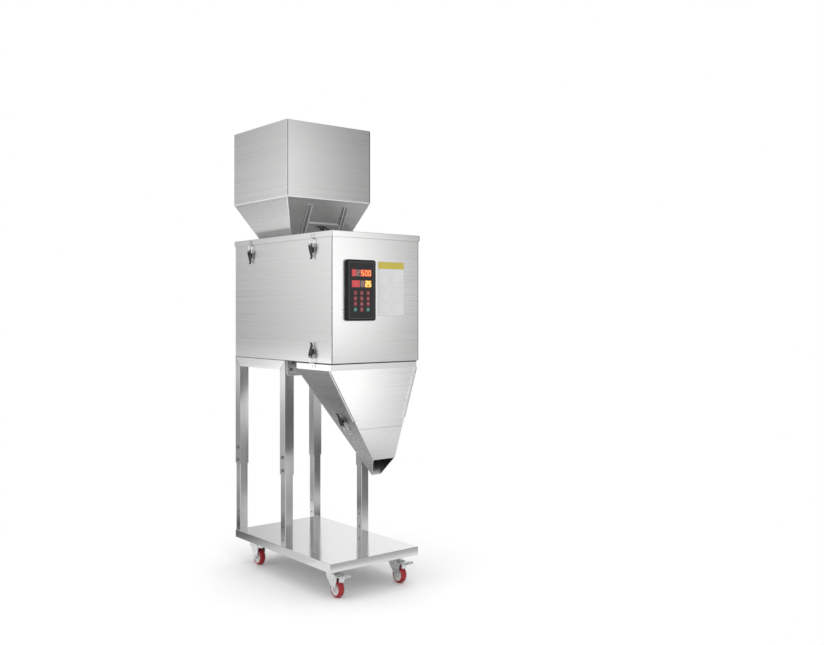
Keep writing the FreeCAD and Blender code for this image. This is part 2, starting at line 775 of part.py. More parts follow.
gate = new_body("Gate")
block(gate, (-gate_half, gate_half), (gate_face, gate_back), (4, d.gate_top))
block(gate, (9 - gate_half, gate_half - 9), (gate_back - d.gate_flange, gate_back),
      (d.gate_top - d.gate_sheet, d.gate_top))
corner = 10
for sign in (-1, 1):
    notch = [(gate_half, d.gate_top + 1), (gate_half - corner, d.gate_top + 1), (gate_half, d.gate_top - corner)]
    prism(gate, "XZ", [[(x * sign, z) for x, z in notch]], -20, 0, hollow=True)
slot_half = stud_radius + 0.8
slot = rectangle((-slot_half, slot_half),
                 (d.knob_height - d.gate_travel - slot_half, d.knob_height + slot_half))
prism(gate, "XZ", [slot], gate_face, gate_back, hollow=True)
soften(gate, slot_half - 0.3, lambda edge, middle: edge.BoundBox.YLength > 1 and edge.BoundBox.XLength < 0.01
       and abs(abs(middle.x) - float(slot_half)) < 0.01)
node("slide_gate", on_slope(gate))

knob = new_body("Knob")
knob_half = d.knob_span / 2
prism(knob, "XZ", [(0, d.knob_height, 8)], gate_face - 11, gate_face - 0.4)
for sign in (-1, 1):
    wing = [(3, gate_face - 2.5), (knob_half - 4, gate_face - 9), (knob_half, gate_face - 13),
            (knob_half - 1, gate_face - 18), (knob_half - 7, gate_face - 18), (5, gate_face - 11)]
    prism(knob, "XY", [[(x * sign, y) for x, y in wing]], d.knob_height - 3, d.knob_height + 3)
prism(knob, "XZ", [(0, d.knob_height, stud_radius + d.bearing_clearance)], gate_face - 20, gate_face + 1, hollow=True)
soften(knob, 1.2, lambda edge, middle: edge.BoundBox.ZLength > 5 and edge.BoundBox.YLength < 0.01
       and abs(middle.x) > float(knob_half) - 9)
node("gate_knob", on_slope(knob))


# Discharge funnel and its removable nozzle

rim_half = half - d.rim_inset
rim_front = front + d.rim_setback
rim_rear = rim_front + d.rim_depth
slope_run = d.outlet_front_drop - d.rim_height
full_run = d.funnel_drop - d.rim_height
side_rate = (rim_half - d.outlet_rear_width / 2) / full_run
front_rate = (d.rim_setback + d.nozzle_reach) / slope_run
rear_rate = (d.rim_setback + d.rim_depth - d.outlet_rear_set) / full_run


def funnel_section(drop, inset=0):
    """Half width, front and rear of the funnel at a depth below the cabinet."""
    fall = drop - d.rim_height
    return SimpleNamespace(
        half_width=rim_half - side_rate * fall - inset,
        near=rim_front - front_rate * fall + inset,
        far=rim_rear - rear_rate * fall - inset)


def funnel_outline(drop, inset=0):
    at = funnel_section(drop, inset)
    return (-at.half_width, at.half_width), (at.near, at.far), base - drop


def strip_outline(drop, sign, x_reach, y_reach):
    """One plate of a welded corner strip at a depth, measured from the funnel's near corner."""
    at = funnel_section(drop)
    x_range = sorted(((at.half_width + x) * sign for x in x_reach), key=float)
    return x_range, (at.near + y_reach[0], at.near + y_reach[1]), base - drop


strip = d.sheet
sink = 0.5
strip_plates = {"side": ((-sink, strip), (-strip, d.corner_strip)),
                "front": ((-d.corner_strip, strip), (-strip, sink))}
funnel_solids = [box("FunnelRim", (-rim_half, rim_half), (rim_front, rim_rear), (base - d.rim_height, base)),
                 frustum("FunnelCone", funnel_outline(d.funnel_seam), funnel_outline(d.rim_height))]
for side, sign in SIDES.items():
    for face, reach in strip_plates.items():
        funnel_solids.append(frustum(f"Strip_{face}_{side}", strip_outline(d.corner_strip_drop, sign, *reach),
                                     strip_outline(d.rim_height, sign, *reach)))
funnel = cut("Funnel", fuse("FunnelSolid", *funnel_solids),
             frustum("FunnelHollow", funnel_outline(d.funnel_seam, d.sheet), funnel_outline(d.rim_height, d.sheet)),
             box("RimHollow", (d.sheet - rim_half, rim_half - d.sheet), (rim_front + d.sheet, rim_rear - d.sheet),
                 (base - d.rim_height, base)))
node("discharge_funnel", funnel)

seam = d.funnel_seam + 0.3
spigot_inset = d.sheet + 0.3
spigot_inner = spigot_inset + d.sheet
spigot_top = d.funnel_seam - d.spigot
collar_end = d.funnel_seam + 12
nozzle_solid = fuse("NozzleSolid",
                    frustum("NozzleCone", funnel_outline(d.funnel_drop), funnel_outline(seam)),
                    frustum("Spigot", funnel_outline(seam, spigot_inset), funnel_outline(spigot_top, spigot_inset)))
lip_front = funnel_section(d.outlet_front_drop)
lip_rear = funnel_section(d.funnel_drop)
outlet_cut = new_body("OutletCut")
prism(outlet_cut, "YZ", [[(lip_front.near - 30, base - d.outlet_front_drop),
                          (lip_front.near, base - d.outlet_front_drop), (lip_rear.far, base - d.funnel_drop),
                          (lip_rear.far, base - d.funnel_drop - 20),
                          (lip_front.near - 30, base - d.funnel_drop - 20)]], -half, half)
node("nozzle", cut("Nozzle", nozzle_solid,
                   frustum("SpigotHollow", funnel_outline(collar_end, spigot_inner),
                           funnel_outline(spigot_top, spigot_inner)),
                   frustum("NozzleHollow", funnel_outline(d.funnel_drop, d.sheet),
                           funnel_outline(collar_end, d.sheet)),
                   outlet_cut))


# Control panel

panel_x = -d.panel_offset
panel_z = base + d.panel_level
panel_half = d.panel_width / 2
panel_tall = d.panel_height / 2
panel_face = front - d.panel_depth
housing = new_body("PanelHousing")
block(housing, (panel_x - panel_half, panel_x + panel_half), (panel_face, front),
      (panel_z - panel_tall, panel_z + panel_tall))
soften(housing, d.panel_corner, lambda edge, middle: edge.BoundBox.YLength > 5)
soften(housing, 2.5, lambda edge, middle: abs(middle.y - float(panel_face)) < 0.01)
window_x = (panel_x - panel_half + d.bezel, panel_x + panel_half - d.bezel)
window_z = (panel_z - panel_tall + d.bezel, panel_z + panel_tall - d.bezel)
prism(housing, "XZ", [rectangle(window_x, window_z)], panel_face, panel_face + 1.2, hollow=True)
node("panel_housing", housing)
overlay = new_body("PanelOverlay")
trim = 0.4
prism(overlay, "XZ", [rectangle((window_x[0] + trim, window_x[1] - trim), (window_z[0] + trim, window_z[1] - trim))],
      panel_face + 0.4, panel_face + 1.2)
display_x = (panel_x - d.display_width / 2, panel_x + d.display_width / 2)
display_half = d.display_height / 2
for level in (d.display_upper, d.display_lower):
    prism(overlay, "XZ", [rectangle(display_x, (panel_z + level - display_half, panel_z + level + display_half))],
          panel_face + 0.4, panel_face + 0.8, hollow=True)
key_half = 7.2
for column in (-25.5, 0, 25.5):
    for line in range(4):
        key_x = panel_x + column
        key_z = panel_z - 9 - 18 * line
        prism(overlay, "XZ", [rectangle((key_x - key_half, key_x + key_half), (key_z - key_half, key_z + key_half))],
              panel_face + 0.1, panel_face + 0.4)
node("panel_overlay", overlay)


# Toggle latches: base with ears, lever, wire bail and keeper

pivot = d.latch_pivot
throw = d.latch_throw
wire = d.latch_wire / 2
bail_pin_out = pivot - 0.6
bail_pin_along = -throw
ear_inner = 6.5
ear_outer = 7.7
cheek_in = 8.0
cheek_out = 9.2
rivet_clear = 0.06
pin_radius = 2

latch_base = new_body("LatchBase")
base_half = d.latch_width / 2
block(latch_base, (-base_half, base_half), (0, 1.2), (-8, 7))
block(latch_base, (-6, 6), (0, 1.2), (8 - d.latch_lever_length, -8))
for sign in (-1, 1):
    low, high = sorted((ear_inner * sign, ear_outer * sign))
    prism(latch_base, "YZ", [[(0, -8), (0, 7), (pivot, 4.5), (pivot, -4.5)]], low, high)
    prism(latch_base, "YZ", [(pivot, 0, 4.5)], low, high)
prism(latch_base, "YZ", [(pivot, 0, pin_radius)], -cheek_out - 0.3, cheek_out + 0.3)
for along in (-18, -32):
    prism(latch_base, "XZ", [(0, along, 2.6)], 1.2, 2.6)

lever = new_body("LatchLever")
tip = -d.latch_lever_length
for sign in (-1, 1):
    low, high = sorted((cheek_in * sign, cheek_out * sign))
    prism(lever, "YZ", [[(pivot - 5, 1), (pivot - 3, 4), (pivot, 5), (pivot + 3, 4), (pivot + 4.6, -1),
                         (pivot + 4.6, -6), (5, -31), (2.6, -31), (2.6, -12)]], low, high)
prism(lever, "YZ", [[(pivot + 4.9, -5.5), (pivot - 2.2, tip + 8), (pivot + 1, tip), (pivot - 0.2, tip - 0.4),
                     (pivot - 3.5, tip + 7.6), (pivot + 3.6, -5.8)]], -cheek_out, cheek_out)
for sign in (-1, 1):
    taper = [(cheek_out + 0.5, -14), (cheek_out + 0.5, tip - 2), (4.6, tip - 2)]
    prism(lever, "XZ", [[(x * sign, z) for x, z in taper]], 0, pivot + 8, hollow=True)
prism(lever, "YZ", [(pivot, 0, pin_radius + rivet_clear), (bail_pin_out, bail_pin_along, wire + rivet_clear)],
      -cheek_out - 1, cheek_out + 1, hollow=True)

bail = new_body("LatchBail")
bail_half = cheek_out + 0.45 + wire
loop_top = d.latch_reach
path = new_sketch(bail, "XZ", 0)
draw_polygon(path, [(-cheek_in, 0), (-bail_half, 0), (-bail_half, loop_top - 8), (-7, loop_top),
                    (7, loop_top), (bail_half, loop_top - 8), (bail_half, 0), (cheek_in, 0)], closed=False)
section = new_sketch(bail, "YZ", -cheek_in)
draw_circle(section, 0, 0, wire)
sweep = bail.newObject("PartDesign::AdditivePipe", "BailWire")
sweep.Profile = section
sweep.Spine = path
sweep.Transition = "Right corner"
lean = math.degrees(math.asin(2.9 / float(d.latch_reach)))
bail_set = place(group("BailSet", bail), 0, bail_pin_out, bail_pin_along,
                 FreeCAD.Rotation(FreeCAD.Vector(1, 0, 0), lean))

shelf_top = float(d.latch_reach) * math.cos(math.radians(lean)) - float(throw) - float(wire) - 0.35


def make_keeper(name, lift):
    """A flat plate with a bent shelf under the wire, raised or sunk by the step at the seam."""
    keeper = new_body(name)
    block(keeper, (-base_half, base_half), (lift, lift + 1.2), (shelf_top + 2.5, shelf_top + 17))
    block(keeper, (-5.5, 5.5), (lift, lift + 1.2), (shelf_top - 1.2, shelf_top + 3))
    block(keeper, (-5.5, 5.5), (lift, 9.5), (shelf_top - 1.2, shelf_top))
    prism(keeper, "XZ", [(x, shelf_top + 11, 2.8) for x in (-7, 7)], lift + 1.2, lift + 2.6)
    return keeper


keepers = {"lid": make_keeper("KeeperLid", d.lid_overhang), "funnel": make_keeper("KeeperFunnel", -d.rim_inset),
           "nozzle": make_keeper("KeeperNozzle", 0)}

nozzle_latch_drop = d.funnel_seam - 12
nozzle_at = funnel_section(nozzle_latch_drop)
latch_spots = {}
for side, sign in SIDES.items():
    outward = FreeCAD.Vector(sign, 0, 0)
    for end, setback in (("front", d.latch_front), ("rear", d.latch_rear)):
        latch_spots[f"lid_{end}_{side}"] = ((half * sign, front + setback, lid_top - 42), outward,
                                            FreeCAD.Vector(0, 0, 1), "lid")
    latch_spots[f"funnel_{side}"] = ((half * sign, front + d.latch_front, base + 19.8), outward,
                                     FreeCAD.Vector(0, 0, -1), "funnel")
    lean_in = float(side_rate)
    middle_rate = (float(front_rate) + float(rear_rate)) / 2
    normal = FreeCAD.Vector(sign, 0, -lean_in).normalize()
    down = FreeCAD.Vector(-sign * lean_in, -middle_rate, -1).normalize()
    latch_spots[f"nozzle_{side}"] = ((nozzle_at.half_width * sign, (nozzle_at.near + nozzle_at.far) / 2,
                                      base - nozzle_latch_drop), normal, down, "nozzle")


def latch_turn(outward, along):
    """Rotation that takes the latch's own Y to outward and its own Z towards the keeper."""
    across = outward.cross(along)
    matrix = FreeCAD.Matrix(across.x, outward.x, along.x, 0, across.y, outward.y, along.y, 0,
                            across.z, outward.z, along.z, 0, 0, 0, 0, 1)
    return FreeCAD.Rotation(matrix)


base_set = []
keeper_set = []
for spot, (origin, outward, along, kind) in latch_spots.items():
    turn = latch_turn(outward, along)
    base_set.append(place(group(f"Base_{spot}", latch_base), *origin, turn))
    keeper_set.append(place(group(f"Keeper_{spot}", keepers[kind]), *origin, turn))
    node(f"latch_lever_{spot}", place(group(f"Lever_{spot}", lever), *origin, turn))
    node(f"latch_bail_{spot}", place(group(f"Bail_{spot}", bail_set), *origin, turn))
node("latch_bases", group("LatchBases", *base_set))
node("latch_keepers", group("LatchKeepers", *keeper_set))


# Inside: vibrating trough and its drive, weigh bucket with its flap, load cell

floor_top = base + d.sheet
trough_half = d.trough_width / 2
trough_rear = throat_front + d.throat_depth + 25
trough_front = trough_rear - d.trough_length
trough_base = base + d.trough_level
trough = new_body("Trough")
block(trough, (-trough_half, trough_half), (trough_front, trough_rear),
      (trough_base, trough_base + d.trough_wall_height))
block(trough, (d.sheet - trough_half, trough_half - d.sheet), (trough_front, trough_rear - d.sheet),
      (trough_base + d.sheet, trough_base + d.trough_wall_height), hollow=True)
spring_rows = (trough_rear - d.spring_setback, trough_rear - d.spring_setback - d.spring_pitch)
clamp_half = d.spring_width / 2 + 5
spring_half = d.spring_width / 2
clamp_drop = 22
spring_slack = 0.6
for level_y in spring_rows:
    block(trough, (-clamp_half, clamp_half), (level_y, level_y + d.spring_clamp),
          (trough_base - clamp_drop, trough_base))
node("feeder_trough", trough)

drive_half = d.drive_width / 2
drive_rear = trough_rear - d.drive_setback
foot_top = floor_top + d.drive_foot
drive_parts = [box("DriveBase", (-drive_half, drive_half), (drive_rear - d.drive_length, drive_rear),
                   (floor_top, foot_top))]
for index, level_y in enumerate(spring_rows):
    drive_parts.append(box(f"LeafSpring_{index}", (-spring_half, spring_half),
                           (level_y - spring_slack - d.spring_sheet, level_y - spring_slack),
                           (foot_top, trough_base - 4)))
    drive_parts.append(box(f"SpringFoot_{index}", (-clamp_half, clamp_half),
                           (level_y - spring_slack, level_y + d.spring_clamp), (foot_top, foot_top + 20)))
core_half = d.core_width / 2
coil_y = (spring_rows[0] + spring_rows[1]) / 2
core_top = foot_top + d.core_height
drive_parts.append(box("MagnetCore", (-core_half, core_half), (coil_y - d.core_depth / 2, coil_y + d.core_depth / 2),
                       (foot_top, core_top)))
drive_parts.append(rod("MagnetCoil", "Z", (0, coil_y, core_top), d.coil_diameter / 2, d.coil_height))
node("feeder_drive", group("FeederDrive", *drive_parts))

bucket_half = d.bucket_width / 2
bucket_front = front + 34
bucket_rear = bucket_front + d.bucket_depth
bucket_base = base + d.bucket_level
bucket_top = bucket_base + d.bucket_height
bucket = new_body("Bucket")
block(bucket, (-bucket_half, bucket_half), (bucket_front, bucket_rear), (bucket_base, bucket_top))
block(bucket, (d.sheet - bucket_half, bucket_half - d.sheet), (bucket_front + d.sheet, bucket_rear - d.sheet),
      (bucket_base, bucket_top), hollow=True)
hinge_radius = 4
hinge_z = bucket_base - 6
hinge_y = bucket_front + 5
flap_pin = 2
for sign in (-1, 1):
    low, high = sorted((bucket_half * sign, (bucket_half - 3) * sign), key=float)
    prism(bucket, "YZ", [[(hinge_y - 5, hinge_z - 4), (hinge_y + 5, hinge_z - 4), (hinge_y + 8, bucket_base + 12),
                          (bucket_front, bucket_base + 12)]], low, high)
prism(bucket, "YZ", [(hinge_y, hinge_z, flap_pin)], -bucket_half, bucket_half)
node("weigh_bucket", bucket)
flap = new_body("Flap")
flap_half = bucket_half - 3.6
prism(flap, "YZ", [(hinge_y, hinge_z, hinge_radius)], -flap_half, flap_half)
block(flap, (-flap_half, flap_half), (hinge_y, bucket_rear), (bucket_base - 2.4, bucket_base - 0.5))
prism(flap, "YZ", [(hinge_y, hinge_z, flap_pin + d.bearing_clearance)], -flap_half, flap_half, hollow=True)
node("bucket_flap", flap)

cell_z = bucket_base + d.cell_level
cell_start = bucket_rear + d.cell_bracket
cell_end = cell_start + d.cell_length
cell_half = d.cell_width / 2
cell_tall = d.cell_height / 2
cell_parts = [
    box("CellBracket", (-d.cell_width, d.cell_width), (bucket_rear, cell_start), (cell_z - 26, cell_z + 26)),
    box("CellBeam", (-cell_half, cell_half), (cell_start, cell_end), (cell_z - cell_tall, cell_z + cell_tall)),
    box("CellPost", (-cell_half - 8, cell_half + 8), (cell_end - d.cell_post, cell_end),
        (floor_top, cell_z - cell_tall)),
]
waist = rod("CellWaist", "X", (-cell_half - 1, cell_start + d.cell_length / 2, cell_z), 9, d.cell_width + 2)
cell_parts[1] = cut("CellDrilled", cell_parts[1], waist)
node("load_cell", group("LoadCell", *cell_parts))


# Mains inlet with a rocker switch on the rear wall

inlet = new_body("Inlet")
inlet_depth = 30
block_z = (inlet_z - inlet_body_tall + 0.2, inlet_z + inlet_body_tall - 0.2)
prism(inlet, "XZ", [rectangle((inlet_x - inlet_half, inlet_x + inlet_half),
                              (inlet_z - inlet_tall, inlet_z + inlet_tall))], rear, rear + d.inlet_flange)
prism(inlet, "XZ", [rectangle((inlet_x - inlet_body_half + 0.2, inlet_x + inlet_body_half - 0.2), block_z)],
      rear - inlet_depth, rear)
socket_z = inlet_z - 16
socket = [(inlet_x - 12, socket_z - 8), (inlet_x + 12, socket_z - 8), (inlet_x + 12, socket_z + 4),
          (inlet_x + 8, socket_z + 8), (inlet_x - 8, socket_z + 8), (inlet_x - 12, socket_z + 4)]
prism(inlet, "XZ", [socket], rear - 16, rear + d.inlet_flange, hollow=True)
for offset_x, offset_z in ((-7, -2), (7, -2), (0, 2.5)):
    pin_x = inlet_x + offset_x
    pin_z = socket_z + offset_z
    prism(inlet, "XZ", [rectangle((pin_x - 1, pin_x + 1), (pin_z - 2, pin_z + 2))], rear - 16, rear - 2)
switch_z = inlet_z + 18
rocker_half = 9.5
rocker_tall = 13
prism(inlet, "XZ", [rectangle((inlet_x - rocker_half - 0.5, inlet_x + rocker_half + 0.5),
                              (switch_z - rocker_tall - 0.5, switch_z + rocker_tall + 0.5))],
      rear - 14, rear + d.inlet_flange, hollow=True)
prism(inlet, "YZ", [(rear - 6, switch_z, 1.5)], inlet_x - rocker_half - 0.5, inlet_x + rocker_half + 0.5)
for level in (inlet_z - inlet_tall + 5, inlet_z + inlet_tall - 5):
    prism(inlet, "XZ", [(inlet_x, level, 3)], rear + d.inlet_flange, rear + d.inlet_flange + 1.4)
node("power_inlet", inlet)

rocker = new_body("Rocker")
rocker_tilt = 10
rocker_pivot = 6
rocker_edge = 10.5
tilt_sine = math.sin(math.radians(rocker_tilt))
tilt_cosine = math.cos(math.radians(rocker_tilt))
rocker_face = (d.rocker_reach + rocker_pivot - rocker_edge * tilt_sine) / tilt_cosine
prism(rocker, "YZ", [[(-4, -4), (rocker_face - 3, -rocker_edge - 0.5), (rocker_face, -rocker_edge),
                      (rocker_face - 1.4, 0), (rocker_face, rocker_edge), (rocker_face - 3, rocker_edge + 0.5),
                      (-4, 4)]], -rocker_half, rocker_half)
prism(rocker, "YZ", [(0, 0, 1.5 + d.bearing_clearance)], -rocker_half, rocker_half, hollow=True)
node("rocker_switch", place(group("RockerSet", rocker), inlet_x, rear - rocker_pivot, switch_z,
                            FreeCAD.Rotation(FreeCAD.Vector(1, 0, 0), rocker_tilt)))


# Recompute, check everything, then write the files

doc.recompute()
failed = [item.Name for item in doc.Objects if "Invalid" in item.State or "Error" in item.State]
for label, item in nodes.items():
    if item.Shape.isNull() or not item.Shape.isValid():
        failed.append(label)
if failed:
    raise RuntimeError(f"not sound: {', '.join(failed)}")
os.makedirs("parts", exist_ok=True)
for label, item in nodes.items():
    item.Shape.exportStep(f"parts/{label}.step")
whole = Part.makeCompound([item.Shape for item in nodes.values()]).BoundBox
print(f"{len(nodes)} nodes, x {whole.XMin:.1f} {whole.XMax:.1f}, y {whole.YMin:.1f} {whole.YMax:.1f}, "
      f"z {whole.ZMin:.1f} {whole.ZMax:.1f}")
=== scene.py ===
"""Looks of the weighing powder filler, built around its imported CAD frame."""
import bmesh
import bpy
import json
import math
from mathutils import Matrix, Vector

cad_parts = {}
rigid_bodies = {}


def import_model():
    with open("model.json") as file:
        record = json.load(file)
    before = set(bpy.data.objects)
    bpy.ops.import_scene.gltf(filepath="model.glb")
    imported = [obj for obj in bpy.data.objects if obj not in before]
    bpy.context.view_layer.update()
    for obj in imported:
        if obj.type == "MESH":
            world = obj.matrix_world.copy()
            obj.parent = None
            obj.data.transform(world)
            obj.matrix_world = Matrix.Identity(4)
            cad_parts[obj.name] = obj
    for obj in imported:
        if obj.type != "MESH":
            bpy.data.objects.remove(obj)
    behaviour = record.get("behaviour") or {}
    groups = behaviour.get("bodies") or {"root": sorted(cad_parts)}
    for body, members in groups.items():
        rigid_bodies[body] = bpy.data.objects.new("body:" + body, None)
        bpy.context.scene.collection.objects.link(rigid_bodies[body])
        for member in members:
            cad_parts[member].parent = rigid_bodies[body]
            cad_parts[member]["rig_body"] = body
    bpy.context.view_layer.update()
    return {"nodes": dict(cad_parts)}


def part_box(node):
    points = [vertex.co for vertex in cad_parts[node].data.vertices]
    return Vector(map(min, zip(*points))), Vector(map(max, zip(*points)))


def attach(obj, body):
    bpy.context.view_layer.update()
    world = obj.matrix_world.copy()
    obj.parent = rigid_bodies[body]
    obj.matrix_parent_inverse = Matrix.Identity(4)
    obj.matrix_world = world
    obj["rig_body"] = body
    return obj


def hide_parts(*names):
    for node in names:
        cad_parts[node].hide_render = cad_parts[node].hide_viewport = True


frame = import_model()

MM = 0.001
nodes = frame["nodes"]
node_body = {name: obj["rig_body"] for name, obj in nodes.items()}


# Places read from the frame

def low(node):
    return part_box(node)[0]


def high(node):
    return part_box(node)[1]


FRONT = low("front_panel").y
BASE = low("cabinet_shell").z
CABINET_TOP = high("cabinet_shell").z
LID_TOP = high("lid").z
HALF = high("cabinet_shell").x
PANEL_FACE = low("panel_overlay").y


# Materials

class Shader:
    """A node material under construction."""

    def __init__(self, name):
        self.material = bpy.data.materials.new(name)
        self.material.use_nodes = True
        self.tree = self.material.node_tree
        self.tree.nodes.clear()
        self.output = self.add("ShaderNodeOutputMaterial")
        self.surface = self.add("ShaderNodeBsdfPrincipled")
        self.link(self.surface, "BSDF", self.output, "Surface")

    def add(self, kind, **settings):
        node = self.tree.nodes.new(kind)
        for key, value in settings.items():
            setattr(node, key, value)
        return node

    def link(self, source, out, target, into):
        self.tree.links.new(source.outputs[out], target.inputs[into])

    def set(self, **values):
        for key, value in values.items():
            self.surface.inputs[key.replace("_", " ")].default_value = value
        return self

    def stretched(self, scale, detail=3.0, size=1.0):
        """Noise in object space whose scale differs along the three axes."""
        place = self.add("ShaderNodeTexCoord")
        mapping = self.add("ShaderNodeMapping")
        mapping.inputs["Scale"].default_value = scale
        noise = self.add("ShaderNodeTexNoise")
        noise.inputs["Scale"].default_value = size
        noise.inputs["Detail"].default_value = detail
        self.link(place, "Object", mapping, "Vector")
        self.link(mapping, "Vector", noise, "Vector")
        return noise

    def spread(self, source, out, low_in, high_in, low_out, high_out):
        """Map one range of values onto another."""
        node = self.add("ShaderNodeMapRange")
        ends = {"From Min": low_in, "From Max": high_in, "To Min": low_out, "To Max": high_out}
        for key, value in ends.items():
            node.inputs[key].default_value = value
        self.link(source, out, node, "Value")
        return node

    def tint(self, source, out, dark, light):
        ramp = self.add("ShaderNodeValToRGB")
        ramp.color_ramp.elements[0].position = 0.3
        ramp.color_ramp.elements[1].position = 0.7
        ramp.color_ramp.elements[0].color = (*dark, 1)
        ramp.color_ramp.elements[1].color = (*light, 1)
        self.link(source, out, ramp, "Fac")
        self.link(ramp, "Color", self.surface, "Base Color")
        return ramp

    def bump(self, source, out, strength, distance):
        node = self.add("ShaderNodeBump")
        node.inputs["Strength"].default_value = strength
        node.inputs["Distance"].default_value = distance
        self.link(source, out, node, "Height")
        self.link(node, "Normal", self.surface, "Normal")
        return node


GRAIN = (4.0, 1700.0)
STREAKS = (0.5, 300.0)
BANDS = (0.3, 90.0)


def along_grain(scales, grain):
    """Noise scales along X, Y and Z for marks that are long one way and short across it."""
    along, across = scales
    if grain == "level":
        return along, along, across
    if grain == "upright":
        return across, across, along
    return along, across, along


def brushed(name, shade, rough, grain="level", aniso=0.5, streak=0.06, relief=0.02, waviness=0.06):
    """Brushed stainless steel. The grain runs level round the upright faces, or upright."""
    shader = Shader(name)
    shader.set(Metallic=1.0, Anisotropic=aniso)
    fine = shader.stretched(along_grain(GRAIN, grain), 2.0)
    streaks = shader.stretched(along_grain(STREAKS, grain), 1.0)
    bands = shader.stretched(along_grain(BANDS, grain), 1.0)
    marks = shader.add("ShaderNodeMix", data_type="FLOAT")
    marks.inputs["Factor"].default_value = 0.4
    shader.link(streaks, "Fac", marks, "A")
    shader.link(bands, "Fac", marks, "B")
    mix = shader.add("ShaderNodeMix", data_type="FLOAT")
    mix.inputs["Factor"].default_value = 0.8
    shader.link(fine, "Fac", mix, "A")
    shader.link(marks, "Result", mix, "B")
    shader.tint(mix, "Result", tuple(value * (1 - streak) for value in shade), shade)
    roughness = shader.spread(mix, "Result", 0.3, 0.7, rough * 0.85, rough * 1.15)
    shader.link(roughness, "Result", shader.surface, "Roughness")
    grain_bump = shader.bump(mix, "Result", relief, 0.0002)
    swell = shader.stretched((3.5, 3.5, 3.5), 1.0)
    sheet_bump = shader.add("ShaderNodeBump")
    sheet_bump.inputs["Strength"].default_value = waviness
    sheet_bump.inputs["Distance"].default_value = 0.004
    shader.link(swell, "Fac", sheet_bump, "Height")
    shader.link(sheet_bump, "Normal", grain_bump, "Normal")
    if grain == "upright":
        tangent = shader.add("ShaderNodeCombineXYZ")
        tangent.inputs["Z"].default_value = 1.0
        shader.link(tangent, "Vector", shader.surface, "Tangent")
    else:
        geometry = shader.add("ShaderNodeNewGeometry")
        cross = shader.add("ShaderNodeVectorMath", operation="CROSS_PRODUCT")
        cross.inputs[1].default_value = (0, 0, 1)
        lean = shader.add("ShaderNodeVectorMath", operation="ADD")
        lean.inputs[1].default_value = (0.02, 0, 0)
        shader.link(geometry, "Normal", cross, 0)
        shader.link(cross, "Vector", lean, 0)
        shader.link(lean, "Vector", shader.surface, "Tangent")
    return shader.material


def pressed(name, shade, rough, wear=0.12):
    """Small pressed, plated or turned steel with faint wear."""
    shader = Shader(name)
    shader.set(Metallic=1.0)
    noise = shader.stretched((90, 90, 90), 4.0)
    shader.tint(noise, "Fac", tuple(value * (1 - wear) for value in shade), shade)
    roughness = shader.spread(noise, "Fac", 0.3, 0.7, rough * 0.75, rough * 1.3)
    shader.link(roughness, "Result", shader.surface, "Roughness")
    shader.bump(noise, "Fac", 0.05, 0.0003)
    return shader.material


def moulded(name, shade, rough, variation=0.12, grain=1400, relief=0.15, coat=0.0, specular=0.5):
    """Moulded plastic or rubber with a fine surface grain."""
    shader = Shader(name)
    shader.set(Metallic=0.0, Specular_IOR_Level=specular)
    if coat:
        shader.set(Coat_Weight=coat)
    cloud = shader.stretched((25, 25, 25), 3.0)
    shader.tint(cloud, "Fac", tuple(value * (1 - variation) for value in shade), shade)
    speckle = shader.stretched((grain, grain, grain), 2.0)
    roughness = shader.spread(cloud, "Fac", 0.3, 0.7, rough * 0.85, rough * 1.15)
    shader.link(roughness, "Result", shader.surface, "Roughness")
    shader.bump(speckle, "Fac", relief, 0.0001)
    return shader.material


def glowing(name, shade, strength):
    """A lit display segment behind tinted film."""
    shader = moulded(name, shade, 0.3, relief=0.02)
    surface = next(node for node in shader.node_tree.nodes if node.type == "BSDF_PRINCIPLED")
    surface.inputs["Emission Color"].default_value = (*shade, 1)
    surface.inputs["Emission Strength"].default_value = strength
    return shader


STEEL = (0.66, 0.66, 0.655)
sheet_steel = brushed("sheet_steel", STEEL, 0.29, aniso=0.6, streak=0.085, relief=0.014)
funnel_steel = brushed("funnel_steel", (0.77, 0.77, 0.765), 0.28, aniso=0.6, streak=0.06, relief=0.012)
# A darker copy of the funnel's steel: painted shade on the side slopes of the funnel and nozzle.
shaded_funnel_side = brushed("shaded_funnel_side", (0.44, 0.44, 0.44), 0.28, aniso=0.6, streak=0.09, relief=0.012)
tube_steel = brushed("tube_steel", (0.66, 0.66, 0.66), 0.17, "upright", 0.3, 0.05, 0.01, 0.02)
beam_steel = brushed("beam_steel", (0.72, 0.72, 0.72), 0.26, streak=0.06)
tray_steel = brushed("tray_steel", (0.72, 0.72, 0.72), 0.13, "across", 0.4, 0.05, 0.03, 0.6)
dull_steel = brushed("dull_steel", (0.50, 0.50, 0.50), 0.38)
latch_steel = pressed("latch_steel", (0.62, 0.62, 0.62), 0.18)
wire_steel = pressed("wire_steel", (0.80, 0.80, 0.80), 0.14)
lever_steel = pressed("lever_steel", (0.055, 0.055, 0.055), 0.24)
# A light copy for the faces of the near-black latch levers that turn towards the middle: a painted
# highlight.
lever_painted_highlight = pressed("lever_painted_highlight", (0.80, 0.80, 0.80), 0.35)
bolt_steel = pressed("bolt_steel", (0.22, 0.22, 0.22), 0.3)
zinc = pressed("zinc_plate", (0.72, 0.73, 0.74), 0.28)
cast = moulded("cast_paint", (0.10, 0.12, 0.14), 0.55, relief=0.3, grain=700)
machined = brushed("machined_alloy", (0.74, 0.74, 0.75), 0.3)
red_tyre = moulded("red_tyre", (0.30, 0.004, 0.012), 0.32, relief=0.1)
white_hub = moulded("white_hub", (0.80, 0.80, 0.78), 0.45)
black_case = moulded("black_case", (0.006, 0.006, 0.006), 0.5, specular=0.2)
panel_film = moulded("panel_film", (0.016, 0.016, 0.017), 0.5, relief=0.04, specular=0.25)
black_plastic = moulded("black_plastic", (0.02, 0.02, 0.02), 0.5)
# Near-black strips in the cabinet's corner gaps and under its rim: painted shadow in those gaps.
gap_shadow_black = moulded("gap_shadow_black", (0.035, 0.035, 0.035), 0.7)


# Pieces made from meshes

